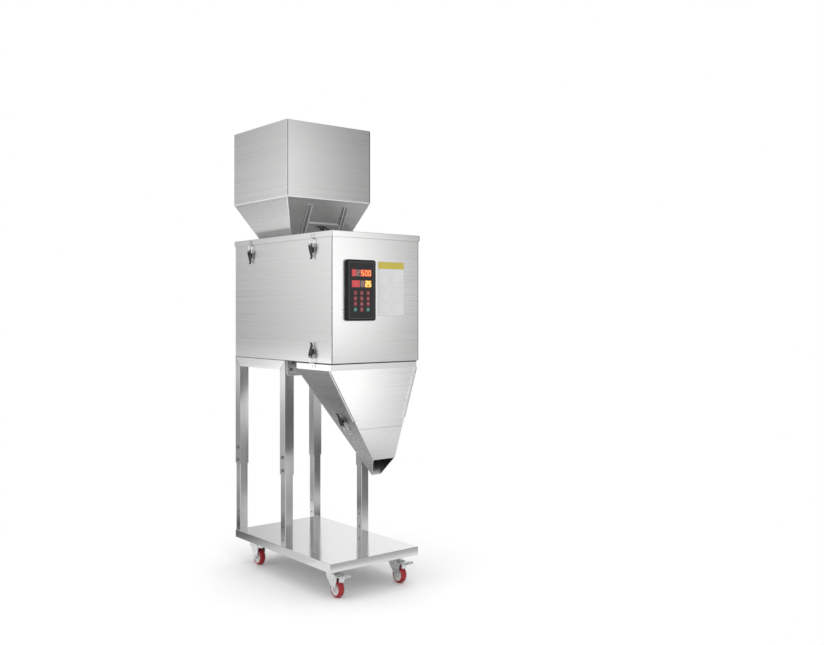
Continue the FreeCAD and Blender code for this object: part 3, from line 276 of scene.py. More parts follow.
def new_piece(name, mesh, material, body):
    piece = bpy.data.objects.new(name, mesh)
    bpy.context.scene.collection.objects.link(piece)
    mesh.materials.clear()
    mesh.materials.append(material)
    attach(piece, body)
    return piece


SHARP = math.radians(28)
BEND = math.radians(5)
WIDE_FACE = 1500 * MM * MM


def is_crease(edge):
    """True for a real corner: a steep edge, or a shallow bend between two wide flat faces."""
    if not edge.is_manifold:
        return False
    angle = edge.calc_face_angle(0)
    return angle > SHARP or (angle > BEND and min(face.calc_area() for face in edge.link_faces) > WIDE_FACE)


def finish_shading(piece):
    """Shade wide faces flat, so that they mirror as planes, and the rounded edges between them smooth."""
    for face in piece.data.polygons:
        face.use_smooth = face.area < WIDE_FACE
    weighted = piece.modifiers.new("even_normals", "WEIGHTED_NORMAL")
    weighted.keep_sharp = True
    weighted.weight = 80


def skin(node, material, edge, second=None, where=None):
    """A copy of a CAD node with rounded edges, which stands for the node.

    A second material goes on the faces that a test picks.
    """
    mesh = nodes[node].data.copy()
    mesh.name = f"{node}_skin"
    work = bmesh.new()
    work.from_mesh(mesh)
    bmesh.ops.remove_doubles(work, verts=work.verts, dist=1e-6)
    bmesh.ops.dissolve_limit(work, angle_limit=math.radians(0.4), verts=work.verts, edges=work.edges)
    creases = [item for item in work.edges if is_crease(item)]
    bmesh.ops.bevel(work, geom=creases, offset=edge, segments=2, profile=0.5, affect="EDGES",
                    clamp_overlap=True)
    for edge_item in work.edges:
        edge_item.smooth = not edge_item.is_manifold or edge_item.calc_face_angle(0) < math.radians(50)
    work.to_mesh(mesh)
    work.free()
    piece = new_piece(f"{node}_skin", mesh, material, node_body[node])
    if second:
        mesh.materials.append(second)
        for face in mesh.polygons:
            face.material_index = int(where(face, mesh))
    finish_shading(piece)
    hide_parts(node)
    return piece


def above(level):
    """A test for faces that lie wholly above a level."""
    return lambda face, mesh: min(mesh.vertices[index].co.z for index in face.vertices) > level


def side_slope(face, mesh):
    """True for a face of the funnel that slopes in below the collar on the left or the right, where the
    painted shade goes.
    """
    return abs(face.normal.x) > 0.5 and face.normal.z < -0.1


def turned_in(node):
    """A test for faces that look towards the machine's middle plane."""
    sign = 1 if low(node).x > 0 else -1
    return lambda face, mesh: face.normal.x * sign < -0.3


# Each node's material and its rounding in millimetres. A node with none keeps its CAD mesh.
SKINS = {
    "hopper": (sheet_steel, 1.6), "cabinet_shell": (sheet_steel, 0.5), "front_panel": (sheet_steel, 0.5),
    "lid": (sheet_steel, 0.5), "discharge_funnel": (funnel_steel, 0.4), "nozzle": (funnel_steel, 0.4),
    "slide_gate": (sheet_steel, 0.0), "gate_rails": (wire_steel, 0.3), "gate_knob": (black_plastic, 0.6),
    "base_tray": (tray_steel, 0.5), "caster_mounts": (dull_steel, 0.4),
    "side_frame_left": (tube_steel, 1.0), "side_frame_right": (tube_steel, 1.0),
    "frame_crosspieces": (beam_steel, 0.6), "stand_bolts": (bolt_steel, 0.6),
    "panel_housing": (black_case, 0.5), "panel_overlay": (panel_film, 0.15),
    "latch_bases": (latch_steel, 0.25), "latch_keepers": (latch_steel, 0.25),
    "feeder_trough": (dull_steel, 0.4), "feeder_drive": (cast, 1.0), "load_cell": (machined, 0.6),
    "weigh_bucket": (sheet_steel, 0.4), "bucket_flap": (sheet_steel, 0.3),
    "power_inlet": (black_plastic, 0.4), "rocker_switch": (black_plastic, 0.4),
}
PREFIX_SKINS = {
    "lower_leg": (tube_steel, 0.6), "caster_fork": (zinc, 0.0), "caster_tyre": (red_tyre, 0.5),
    "caster_hub": (white_hub, 0.5), "brake_pedal": (zinc, 0.5), "latch_lever": (lever_steel, 0.25),
    "latch_bail": (wire_steel, 0.0),
}
BEAM_BOTTOM = BASE - 35.5 * MM
for node in nodes:
    material, edge = SKINS.get(node) or next(
        value for prefix, value in PREFIX_SKINS.items() if node.startswith(prefix))
    if node.startswith("side_frame"):
        skin(node, material, edge * MM, second=beam_steel, where=above(BEAM_BOTTOM))
    # The levers' inward faces get a painted highlight.
    elif node.startswith("latch_lever"):
        skin(node, material, edge * MM, second=lever_painted_highlight, where=turned_in(node))
    # The side slopes of the funnel and nozzle take the darker copy of their steel as painted shade.
    elif node in ("discharge_funnel", "nozzle"):
        skin(node, material, edge * MM, second=shaded_funnel_side, where=side_slope)
    elif edge:
        skin(node, material, edge * MM)
    else:
        nodes[node].data.materials.clear()
        nodes[node].data.materials.append(material)
        for face in nodes[node].data.polygons:
            face.use_smooth = True


# Details on the control panel

PANEL_X = (low("panel_housing").x + high("panel_housing").x) / 2
PANEL_Z = (low("panel_housing").z + high("panel_housing").z) / 2
FILM_FACE = PANEL_FACE + 0.3 * MM
SEGMENTS_OF = {
    "0": "abcdef", "1": "bc", "2": "abged", "3": "abgcd", "4": "fgbc", "5": "afgcd",
    "6": "afgedc", "7": "abc", "8": "abcdefg", "9": "abcdfg", "-": "g",
}


def extrude(work, outline, near, far):
    """Raise an outline in the XZ plane into a solid between two depths."""
    face = work.faces.new([work.verts.new((x, near, z)) for x, z in outline])
    result = bmesh.ops.extrude_face_region(work, geom=[face])
    moved = [item for item in result["geom"] if isinstance(item, bmesh.types.BMVert)]
    bmesh.ops.translate(work, vec=(0, far - near, 0), verts=moved)


def prism_piece(name, outline, near, far, material, body, soften=0.0):
    """A flat piece in the XZ plane: an outline given from the front, between two depths."""
    mesh = bpy.data.meshes.new(name)
    work = bmesh.new()
    extrude(work, outline, near, far)
    bmesh.ops.recalc_face_normals(work, faces=work.faces)
    if soften:
        rim = [edge for edge in work.edges if all(abs(vert.co.y - near) < 1e-7 for vert in edge.verts)]
        bmesh.ops.bevel(work, geom=rim, offset=soften, segments=2, profile=0.5, affect="EDGES")
    work.to_mesh(mesh)
    work.free()
    piece = new_piece(name, mesh, material, body)
    finish_shading(piece)
    return piece


def round_rectangle(x0, x1, z0, z1, radius, steps=5):
    points = []
    corners = ((x1 - radius, z1 - radius, 0), (x0 + radius, z1 - radius, 90),
               (x0 + radius, z0 + radius, 180), (x1 - radius, z0 + radius, 270))
    for x, z, start in corners:
        for index in range(steps + 1):
            angle = math.radians(start + 90 * index / steps)
            points.append((x + radius * math.cos(angle), z + radius * math.sin(angle)))
    return points


def round_square(x, z, half, radius):
    return round_rectangle(x - half, x + half, z - half, z + half, radius)


def frame_piece(name, outer, inner, near, far, material, body):
    """A flat ring between two outlines with the same number of points."""
    mesh = bpy.data.meshes.new(name)
    count = len(outer)
    verts = [(x, y, z) for y in (near, far) for ring in (outer, inner) for x, z in ring]
    faces = []
    for index in range(count):
        after = (index + 1) % count
        for first, second in ((0, 1), (3, 2), (1, 3), (2, 0)):
            a, b = first * count, second * count
            faces.append((a + index, a + after, b + after, b + index))
    mesh.from_pydata(verts, [], faces)
    work = bmesh.new()
    work.from_mesh(mesh)
    bmesh.ops.recalc_face_normals(work, faces=work.faces)
    work.to_mesh(mesh)
    work.free()
    return new_piece(name, mesh, material, body)


def bar_outline(x0, z0, x1, z1, half):
    """A pointed bar of a seven-part digit."""
    if abs(x1 - x0) > abs(z1 - z0):
        return [(x0, z0), (x0 + half, z0 + half), (x1 - half, z1 + half), (x1, z1), (x1 - half, z1 - half),
                (x0 + half, z0 - half)]
    return [(x0, z0), (x0 + half, z0 - half), (x1 + half, z1 + half), (x1, z1), (x1 - half, z1 + half),
            (x0 - half, z0 - half)]


def digit(name, text, x, z, width, height, material, near, far):
    """The lit bars of one digit as one piece."""
    left, right = x - width / 2, x + width / 2
    top, bottom = z + height / 2, z - height / 2
    half = width * 0.11
    gap = half * 0.25
    bars = {
        "a": (left + gap, top, right - gap, top), "g": (left + gap, z, right - gap, z),
        "d": (left + gap, bottom, right - gap, bottom),
        "f": (left, top - gap, left, z + gap), "b": (right, top - gap, right, z + gap),
        "e": (left, z - gap, left, bottom + gap), "c": (right, z - gap, right, bottom + gap),
    }
    mesh = bpy.data.meshes.new(name)
    work = bmesh.new()
    for key in SEGMENTS_OF[text]:
        extrude(work, bar_outline(*bars[key], half), near, far)
    bmesh.ops.recalc_face_normals(work, faces=work.faces)
    work.to_mesh(mesh)
    work.free()
    return new_piece(name, mesh, material, "upper")


window_red = glowing("window_red", (0.42, 0.03, 0.03), 0.25)
window_dark = moulded("window_dark", (0.02, 0.012, 0.012), 0.12, coat=0.6, relief=0.02)
window_amber = glowing("window_amber", (0.60, 0.22, 0.01), 0.3)
digit_orange = glowing("digit_orange", (1.0, 0.34, 0.05), 1.0)
digit_yellow = glowing("digit_yellow", (1.0, 0.78, 0.22), 1.0)
digit_dim = glowing("digit_dim", (0.40, 0.16, 0.15), 0.3)
key_red = moulded("key_red", (0.16, 0.014, 0.020), 0.5, relief=0.05)
key_green = moulded("key_green", (0.008, 0.075, 0.055), 0.5, relief=0.05)
key_print = moulded("key_print", (0.56, 0.26, 0.27), 0.5, relief=0.02)
green_print = moulded("green_print", (0.25, 0.62, 0.52), 0.5, relief=0.02)
border_print = moulded("border_print", (0.10, 0.10, 0.10), 0.5, relief=0.02)

WINDOW_FLOOR = FILM_FACE + 0.4 * MM
WINDOW_HALF = 11.4 * MM
DIGIT_WIDTH = 8.5 * MM
DIGIT_HEIGHT = 16 * MM
for row, (level, blocks) in enumerate((
        (56.5, (("-39", "-22", window_red), ("-22", "-5", window_dark), ("-5", "39", window_red))),
        (21, (("-39", "-8", window_red), ("-8", "14", window_dark), ("14", "39", window_amber))))):
    for index, (start, end, material) in enumerate(blocks):
        x0 = PANEL_X + float(start) * MM
        x1 = PANEL_X + float(end) * MM
        z = PANEL_Z + level * MM
        prism_piece(f"window_{row}_{index}",
                    round_rectangle(x0, x1, z - WINDOW_HALF, z + WINDOW_HALF, 0.8 * MM),
                    WINDOW_FLOOR - 0.2 * MM, WINDOW_FLOOR, material, "upper", 0.1 * MM)
DIGITS = (
    (56.5, ((-30.5, "1", digit_dim), (-14, "2", digit_dim), (3, "5", digit_orange), (18, "0", digit_orange),
            (32.5, "0", digit_orange))),
    (21, ((-23, "-", digit_dim), (4, "8", digit_dim), (20.5, "2", digit_yellow), (33, "5", digit_yellow))),
)
for row, (level, entries) in enumerate(DIGITS):
    for index, (offset, text, material) in enumerate(entries):
        digit(f"digit_{row}_{index}", text, PANEL_X + offset * MM, PANEL_Z + level * MM,
              DIGIT_WIDTH, DIGIT_HEIGHT, material, WINDOW_FLOOR - 0.35 * MM, WINDOW_FLOOR - 0.2 * MM)


def printed(name, text, x, z, size, face, material):
    """A printed number as thin raised ink."""
    curve = bpy.data.curves.new(name, "FONT")
    curve.body = text
    curve.size = size
    curve.align_x = "CENTER"
    curve.align_y = "CENTER"
    curve.extrude = 0.04 * MM
    temporary = bpy.data.objects.new(name, curve)
    bpy.context.scene.collection.objects.link(temporary)
    temporary.rotation_euler = (math.pi / 2, 0, 0)
    temporary.location = (x, face, z)
    bpy.context.view_layer.update()
    mesh = bpy.data.meshes.new_from_object(temporary.evaluated_get(bpy.context.evaluated_depsgraph_get()))
    mesh.transform(temporary.matrix_world)
    mesh.name = name
    bpy.data.objects.remove(temporary)
    return new_piece(name, mesh, material, "upper")


KEY_HALF = 7.1 * MM
KEY_TEXTS = ("123", "456", "789", " 0 ")
for line, texts in enumerate(KEY_TEXTS):
    for column, text in enumerate(texts):
        x = PANEL_X + (column - 1) * 25.5 * MM
        z = PANEL_Z - (9 + 18 * line) * MM
        green = line == 3 and column != 1
        prism_piece(f"key_{line}_{column}", round_square(x, z, KEY_HALF, 1.6 * MM),
                    PANEL_FACE - 0.25 * MM, PANEL_FACE + 0.1 * MM,
                    key_green if green else key_red, "upper", 0.2 * MM)
        ink = green_print if green else key_print
        if text != " ":
            printed(f"key_number_{line}_{column}", text, x, z, 10.5 * MM, PANEL_FACE - 0.27 * MM, ink)
        else:
            frame_piece(f"key_ring_{line}_{column}", round_square(x, z, 3.4 * MM, 3.3 * MM),
                        round_square(x, z, 2.2 * MM, 2.1 * MM), PANEL_FACE - 0.31 * MM,
                        PANEL_FACE - 0.2 * MM, ink, "upper")
BORDER = (50.5, 92.5)
frame_piece("panel_border",
            round_rectangle(PANEL_X - BORDER[0] * MM, PANEL_X + BORDER[0] * MM, PANEL_Z - BORDER[1] * MM,
                            PANEL_Z + BORDER[1] * MM, 3 * MM),
            round_rectangle(PANEL_X - (BORDER[0] - 0.9) * MM, PANEL_X + (BORDER[0] - 0.9) * MM,
                            PANEL_Z - (BORDER[1] - 0.9) * MM, PANEL_Z + (BORDER[1] - 0.9) * MM, 2.4 * MM),
            FILM_FACE - 0.05 * MM, FILM_FACE + 0.1 * MM, border_print, "upper")


# Blank card with a plain band beside the panel

card_paper = moulded("card_paper", (0.58, 0.58, 0.59), 0.5, 0.04, relief=0.03)
card_band = moulded("card_band", (0.46, 0.38, 0.045), 0.5, 0.05, relief=0.03)
card_line = moulded("card_line", (0.36, 0.36, 0.38), 0.5, 0.05, relief=0.03)
CARD_X = (5 * MM, 115 * MM)
CARD_Z = (BASE + 154 * MM, BASE + 335 * MM)
BAND_Z = BASE + 311 * MM
EDGE_X = (CARD_X[0] + 0.8 * MM, CARD_X[1] - 0.8 * MM)
EDGE_Z = (CARD_Z[0] + 0.8 * MM, CARD_Z[1] - 0.8 * MM)
prism_piece("card_sheet", round_rectangle(*CARD_X, *CARD_Z, 2.5 * MM), FRONT - 0.5 * MM, FRONT,
            card_paper, "upper", 0.12 * MM)
prism_piece("card_band", round_rectangle(*EDGE_X, BAND_Z, EDGE_Z[1], 2 * MM),
            FRONT - 0.56 * MM, FRONT - 0.48 * MM, card_band, "upper")
frame_piece("card_edge", round_rectangle(*CARD_X, *CARD_Z, 2.5 * MM),
            round_rectangle(*EDGE_X, *EDGE_Z, 1.8 * MM),
            FRONT - 0.58 * MM, FRONT - 0.46 * MM, card_line, "upper")
FIELD_ROWS = ((250, 292), (205, 243), (164, 198))
FIELD_COLUMNS = ((14, 56), (64, 106))
for row, (bottom, top) in enumerate(FIELD_ROWS):
    for column, (left, right) in enumerate(FIELD_COLUMNS):
        outer = round_rectangle(left * MM, right * MM, BASE + bottom * MM, BASE + top * MM, 1.5 * MM)
        inner = round_rectangle((left + 0.6) * MM, (right - 0.6) * MM, BASE + (bottom + 0.6) * MM,
                                BASE + (top - 0.6) * MM, 1.0 * MM)
        frame_piece(f"card_field_{row}_{column}", outer, inner, FRONT - 0.56 * MM, FRONT - 0.48 * MM,
                    card_line, "upper")


# Painted shadow strips in the cabinet's corner gaps and under its rim, with helpers for blocks and strips

def block_piece(name, corner, opposite, material, body, edge=0.2 * MM):
    mesh = bpy.data.meshes.new(name)
    work = bmesh.new()
    bmesh.ops.create_cube(work, size=1)
    size = Vector(opposite) - Vector(corner)
    middle = (Vector(opposite) + Vector(corner)) / 2
    bmesh.ops.scale(work, vec=size, verts=work.verts)
    bmesh.ops.translate(work, vec=middle, verts=work.verts)
    bmesh.ops.bevel(work, geom=work.edges[:], offset=edge, segments=2, profile=0.5, affect="EDGES")
    work.to_mesh(mesh)
    work.free()
    piece = new_piece(name, mesh, material, body)
    finish_shading(piece)
    return piece


def ribbon(name, start, end, outward, width, thickness, material, edge=0.1 * MM):
    """A thin strip laid on the upper part's steel between two points, proud along the outward direction."""
    start, end = Vector(start), Vector(end)
    along = (end - start).normalized()
    out = Vector(outward)
    out = (out - along * out.dot(along)).normalized()
    across = along.cross(out)
    mesh = bpy.data.meshes.new(name)
    work = bmesh.new()
    bmesh.ops.create_cube(work, size=1)
    bmesh.ops.scale(work, vec=(width, (end - start).length, thickness), verts=work.verts)
    turn = Matrix((across, along, out)).transposed().to_4x4()
    bmesh.ops.transform(work, matrix=Matrix.Translation((start + end) / 2) @ turn, verts=work.verts)
    bmesh.ops.bevel(work, geom=work.edges[:], offset=edge, segments=2, profile=0.5, affect="EDGES")
    work.to_mesh(mesh)
    work.free()
    piece = new_piece(name, mesh, material, "upper")
    finish_shading(piece)
    return piece


PANEL_EDGE = high("front_panel").x
# A near-black strip in each front corner gap of the cabinet: painted shadow.
for side, sign in (("left", -1), ("right", 1)):
    inner, outer = sorted((sign * PANEL_EDGE, sign * (HALF - 0.3 * MM)))
    block_piece(f"corner_gap_shadow_{side}", (inner, FRONT + 0.2 * MM, BASE + 0.3 * MM),
                (outer, FRONT + 1.5 * MM, CABINET_TOP - 0.3 * MM), gap_shadow_black, "upper")
RIM_HALF = HALF - 1.0 * MM
RIM_FRONT = FRONT + 10 * MM
RIM_REAR = RIM_FRONT + 204 * MM
PROUD = 0.25 * MM
SHADOW_DROP = 4.5 * MM
# Near-black strips just under the cabinet round the funnel's rim: a painted shadow line.
for name, corner, opposite in (
        ("rim_shadow_front", (-RIM_HALF - PROUD, RIM_FRONT - PROUD), (RIM_HALF + PROUD, RIM_FRONT)),
        ("rim_shadow_rear", (-RIM_HALF - PROUD, RIM_REAR), (RIM_HALF + PROUD, RIM_REAR + PROUD)),
        ("rim_shadow_left", (-RIM_HALF - PROUD, RIM_FRONT), (-RIM_HALF, RIM_REAR)),
        ("rim_shadow_right", (RIM_HALF, RIM_FRONT), (RIM_HALF + PROUD, RIM_REAR))):
    block_piece(name, (*corner, BASE - SHADOW_DROP), (*opposite, BASE - 0.1 * MM), gap_shadow_black, "upper",
                0.08 * MM)


# Painted shade lines at the hopper's folded seams and the lid's corner joints, and painted highlight strips
# on the hopper's welds and bends

HOPPER_LOW, HOPPER_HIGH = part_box("hopper")
HOPPER_FRONT = HOPPER_LOW.y
HOPPER_REAR = HOPPER_HIGH.y
HOPPER_HALF = HOPPER_HIGH.x
BEND_Z = LID_TOP + 137 * MM
THROAT_Z = HOPPER_LOW.z
THROAT_HALF = 76 * MM
THROAT_SETBACK = 117 * MM
CONE_DEPTH = 237 * MM
THROAT_FRONT = HOPPER_FRONT + THROAT_SETBACK
THROAT_REAR = THROAT_FRONT + 92 * MM
# Near-black lines at seams, joints and creases: painted shade for the shadow gaps there.
shade_line_dark = pressed("shade_line_dark", (0.10, 0.10, 0.10), 0.35)
# Light strips brighter than the steel: painted highlight lines on the hopper's bends, the gate's rails and
# the funnel's corner strips, and on the ground welds at the cone's corners.
highlight_bright = brushed("highlight_bright", (0.88, 0.88, 0.88), 0.42, streak=0.05)


def cone_point(level, x_sign, y_end):
    """A corner of the hopper's cone at a level."""
    share = (BEND_Z - level) / (BEND_Z - THROAT_Z)
    x = x_sign * (HOPPER_HALF + (THROAT_HALF - HOPPER_HALF) * share)
    near = HOPPER_FRONT + (THROAT_FRONT - HOPPER_FRONT) * share
    far = HOPPER_REAR + (THROAT_REAR - HOPPER_REAR) * share
    return Vector((x, near if y_end == "front" else far, level))


for side, sign in (("left", -1), ("right", 1)):
    for end, outward in (("front", -1), ("rear", 1)):
        y = HOPPER_FRONT if end == "front" else HOPPER_REAR
        seam_x = sign * (HOPPER_HALF - 2.9 * MM)
        # A dark line beside each upright corner of the bin, at the folded seam: painted shade for the
        # seam's shadow gap.
        ribbon(f"hopper_seam_shade_{end}_{side}", (seam_x, y, BEND_Z + 3 * MM),
               (seam_x, y, HOPPER_HIGH.z - 2 * MM), (0, outward, 0), 2.6 * MM, 0.5 * MM, shade_line_dark)
        # A bright strip up each corner of the cone: a ground weld, made lighter than the steel as a painted
        # highlight.
        ribbon(f"hopper_weld_highlight_{end}_{side}", cone_point(LID_TOP + 3 * MM, sign, end),
               cone_point(BEND_Z - 2 * MM, sign, end), (sign, outward, -0.4), 3.0 * MM, 1.2 * MM,
               highlight_bright, 0.4 * MM)
    # A bright strip along each side bend: painted highlight.
    ribbon(f"hopper_bend_{side}", (sign * HOPPER_HALF, HOPPER_FRONT + 3 * MM, BEND_Z),
           (sign * HOPPER_HALF, HOPPER_REAR - 3 * MM, BEND_Z), (sign, 0, -0.25), 3.4 * MM, 0.7 * MM,
           highlight_bright, 0.25 * MM)
    for end, y, outward in (("front", low("lid").y, -1), ("rear", high("lid").y, 1)):
        # A dark line up each corner of the lid: painted shade in the corner joint.
        seam_x = sign * (high("lid").x - 2.4 * MM)
        ribbon(f"lid_corner_{end}_{side}", (seam_x, y, low("lid").z + 0.6 * MM),
               (seam_x, y, LID_TOP - 2.2 * MM), (0, outward, 0), 1.8 * MM, 0.4 * MM, shade_line_dark)
# A bright strip along the front and rear bends: painted highlight.
for end, y, outward in (("front", HOPPER_FRONT, -1), ("rear", HOPPER_REAR, 1)):
    ribbon(f"hopper_bend_{end}", (3 * MM - HOPPER_HALF, y, BEND_Z), (HOPPER_HALF - 3 * MM, y, BEND_Z),
           (0, outward, -0.25), 3.0 * MM, 0.7 * MM, highlight_bright, 0.25 * MM)


# Mitres of the side frames, and painted shade lines along the joint under the cabinet

BEAM_UNDER = BASE - 34 * MM
TUBE = high("side_frame_left").x - low("side_frame_left").x
FRAME_FRONT, FRAME_REAR = low("side_frame_left").y, high("side_frame_left").y
CABINET_REAR = high("cabinet_shell").y
# Dark lines for the frames' mitre joints; the same material is painted shade along the funnel's front
# corners.
mitre_and_shade_line = pressed("mitre_and_shade_line", (0.30, 0.30, 0.30), 0.4)
for side, sign in (("left", -1), ("right", 1)):
    x = sign * HALF
    for end, outer, inner in (("front", FRAME_FRONT, FRAME_FRONT + TUBE),
                              ("rear", FRAME_REAR, FRAME_REAR - TUBE)):
        ribbon(f"mitre_{end}_{side}", (x, outer, BASE - 1.5 * MM), (x, inner, BEAM_UNDER + 1 * MM),
               (sign, 0, 0), 1.5 * MM, 0.3 * MM, mitre_and_shade_line)
    # Dark lines along the joint under the cabinet: painted shade.
    ribbon(f"cabinet_joint_{side}", (x, RIM_REAR, BASE), (x, CABINET_REAR, BASE), (sign, 0, 0),
           2.4 * MM, 0.4 * MM, shade_line_dark)
ribbon("cabinet_joint_rear", (-HALF, CABINET_REAR, BASE), (HALF, CABINET_REAR, BASE), (0, 1, 0),
       2.4 * MM, 0.4 * MM, shade_line_dark)


# Painted highlight beads and painted shade lines along the gate's rails and the funnel's corner strips

SLOPE = math.atan2(THROAT_SETBACK, CONE_DEPTH)


def on_slope(x, out, up):
    """A point on the hopper's front slope: across, out of the sheet, and up the slope from the throat."""
    return Vector((x, THROAT_FRONT - out * math.cos(SLOPE) - up * math.sin(SLOPE),
                   THROAT_Z - out * math.sin(SLOPE) + up * math.cos(SLOPE)))


RAIL_FOOT, RAIL_HEAD = 112 * MM, 239 * MM
SLOPE_OUT = (0, -math.cos(SLOPE), -math.sin(SLOPE))
for side, sign in (("left", -1), ("right", 1)):
    foot = sign * 74.1 * MM
    # The bright edge and lip beads are painted highlights; the dark joint and crease lines are painted
    # shade.
    for name, x, out, width, thickness, material in (
            ("rail_edge", foot + sign * 11.2 * MM, 1.5 * MM, 2.0 * MM, 1.0 * MM, highlight_bright),
            ("rail_lip", foot - sign * 5.0 * MM, 5.0 * MM, 2.4 * MM, 1.0 * MM, highlight_bright),
            ("rail_joint_shade", foot + sign * 13.2 * MM, 0.0, 2.0 * MM, 0.5 * MM, shade_line_dark),
            ("rail_crease_shade", foot + sign * 2.6 * MM, 1.5 * MM, 1.8 * MM, 0.5 * MM, shade_line_dark)):
        ribbon(f"{name}_{side}", on_slope(x, out, RAIL_FOOT), on_slope(x, out, RAIL_HEAD), SLOPE_OUT,
               width, thickness, material, 0.35 * MM)


FUNNEL_SIDE_RATE = (RIM_HALF - 18 * MM) / (351 * MM)
FUNNEL_FRONT_RATE = 50.0 / 292.0


def funnel_corner(drop, sign):
    """The funnel's near corner at a depth below the cabinet."""
    fall = drop - 24 * MM
    return Vector((sign * (RIM_HALF - FUNNEL_SIDE_RATE * fall), RIM_FRONT - FUNNEL_FRONT_RATE * fall,
                   BASE - drop))


for side, sign in (("left", -1), ("right", 1)):
    start, end = funnel_corner(25 * MM, sign), funnel_corner(188 * MM, sign)
    along = (end - start).normalized()
    side_out = Vector((sign, 0, -FUNNEL_SIDE_RATE)).normalized()
    front_out = Vector((0, -1, FUNNEL_FRONT_RATE)).normalized()
    across = Vector((0, 1, 0))
    across = across - along * across.dot(along)
    across = (across - side_out * across.dot(side_out)).normalized()
    middle = across * 5.2 * MM + side_out * 1.5 * MM
    # The side strip is lighter than the funnel: painted highlight.
    ribbon(f"strip_side_{side}", start + middle, end + middle, side_out, 8.8 * MM, 0.3 * MM, highlight_bright)
    edge = across * 10.6 * MM + side_out * 0.1 * MM
    # A dark line along the strip's outer side: painted shadow.
    ribbon(f"strip_joint_shade_{side}", start + edge, end + edge, side_out, 1.4 * MM, 0.2 * MM, shade_line_dark)
    outer = side_out * 1.3 * MM + front_out * 1.5 * MM - Vector((sign, 0, 0)) * 0.6 * MM
    # A dark line along the corner's front edge: painted shade.
    ribbon(f"strip_edge_{side}", start + outer, end + outer, front_out, 1.8 * MM, 0.2 * MM, mitre_and_shade_line)


# Floor, light and camera

def light_path_mask(shader):
    """One where the camera or a mirror-like ray looks, and nought where light only bounces."""
    path = shader.add("ShaderNodeLightPath")
    first = shader.add("ShaderNodeMath", operation="MAXIMUM")
    second = shader.add("ShaderNodeMath", operation="MAXIMUM")
    shader.link(path, "Is Camera Ray", first, 0)
    shader.link(path, "Is Glossy Ray", first, 1)
    shader.tree.links.new(first.outputs[0], second.inputs[0])
    shader.link(path, "Is Transmission Ray", second, 1)
    return second


def make_floor():
    mesh = bpy.data.meshes.new("floor")
    work = bmesh.new()
    bmesh.ops.create_grid(work, x_segments=2, y_segments=2, size=30)
    work.to_mesh(mesh)
    work.free()
    floor = bpy.data.objects.new("floor", mesh)
    bpy.context.scene.collection.objects.link(floor)
    shader = Shader("floor_paint")
    shader.set(Base_Color=(0.88, 0.88, 0.88, 1), Roughness=0.9)
    place = shader.add("ShaderNodeTexCoord")
    length = shader.add("ShaderNodeVectorMath", operation="LENGTH")
    shader.link(place, "Object", length, 0)
    far = shader.spread(length, "Value", 0.45, 1.5, 0.0, 1.0)
    mask = light_path_mask(shader)
    both = shader.add("ShaderNodeMath", operation="MULTIPLY")
    shader.link(far, "Result", both, 0)
    shader.tree.links.new(mask.outputs[0], both.inputs[1])
    white = shader.add("ShaderNodeEmission")
    white.inputs["Strength"].default_value = 1.0
    blend = shader.add("ShaderNodeMixShader")
    shader.tree.links.new(both.outputs[0], blend.inputs[0])
    shader.link(shader.surface, "BSDF", blend, 1)
    shader.link(white, "Emission", blend, 2)
    shader.link(blend, "Shader", shader.output, "Surface")
    mesh.materials.append(shader.material)


def make_world(ambient, overhead):
    world = bpy.data.worlds.new("studio")
    bpy.context.scene.world = world
    world.use_nodes = True
    tree = world.node_tree
    tree.nodes.clear()
    output = tree.nodes.new("ShaderNodeOutputWorld")
    background = tree.nodes.new("ShaderNodeBackground")
    background.inputs["Color"].default_value = (1, 1, 1, 1)
    path = tree.nodes.new("ShaderNodeLightPath")
    place = tree.nodes.new("ShaderNodeTexCoord")
    split = tree.nodes.new("ShaderNodeSeparateXYZ")
    tree.links.new(place.outputs["Generated"], split.inputs["Vector"])
    dome = tree.nodes.new("ShaderNodeMapRange")
    dome.interpolation_type = "SMOOTHSTEP"
    for key, value in (("From Min", 0.28), ("From Max", 0.62), ("To Min", ambient), ("To Max", overhead)):
        dome.inputs[key].default_value = value
    tree.links.new(split.outputs["Z"], dome.inputs["Value"])
    seen = tree.nodes.new("ShaderNodeMix")
    seen.data_type = "FLOAT"
    plain = tree.nodes.new("ShaderNodeMath")
    plain.operation = "MAXIMUM"
    tree.links.new(path.outputs["Is Camera Ray"], plain.inputs[0])
    tree.links.new(path.outputs["Is Diffuse Ray"], plain.inputs[1])
    tree.links.new(plain.outputs[0], seen.inputs["Factor"])
    tree.links.new(dome.outputs["Result"], seen.inputs["A"])
    seen.inputs["B"].default_value = 1.0
    tree.links.new(seen.outputs["Result"], background.inputs["Strength"])
    tree.links.new(background.outputs["Background"], output.inputs["Surface"])


def soft_light(name, place, aim, width, height, power):
    data = bpy.data.lights.new(name, "AREA")
    data.shape = "RECTANGLE"
    data.size = width
    data.size_y = height
    data.energy = power
    light = bpy.data.objects.new(name, data)
    bpy.context.scene.collection.objects.link(light)
    light.location = place
    light.rotation_euler = (Vector(aim) - Vector(place)).to_track_quat("-Z", "Y").to_euler()
    return light


def grey_ramp(shader, source, out, stops):
    """Grey levels through set stops of a value."""
    first, last = stops[0][0], stops[-1][0]
    share = shader.spread(source, out, first, last, 0.0, 1.0)
    ramp = shader.add("ShaderNodeValToRGB")
    elements = ramp.color_ramp.elements
    while len(elements) < len(stops):
        elements.new(0.5)
    for element, (position, grey) in zip(elements, stops):
        element.position = (position - first) / (last - first)
        element.color = (grey, grey, grey, 1)
    shader.link(share, "Result", ramp, "Fac")
    return ramp


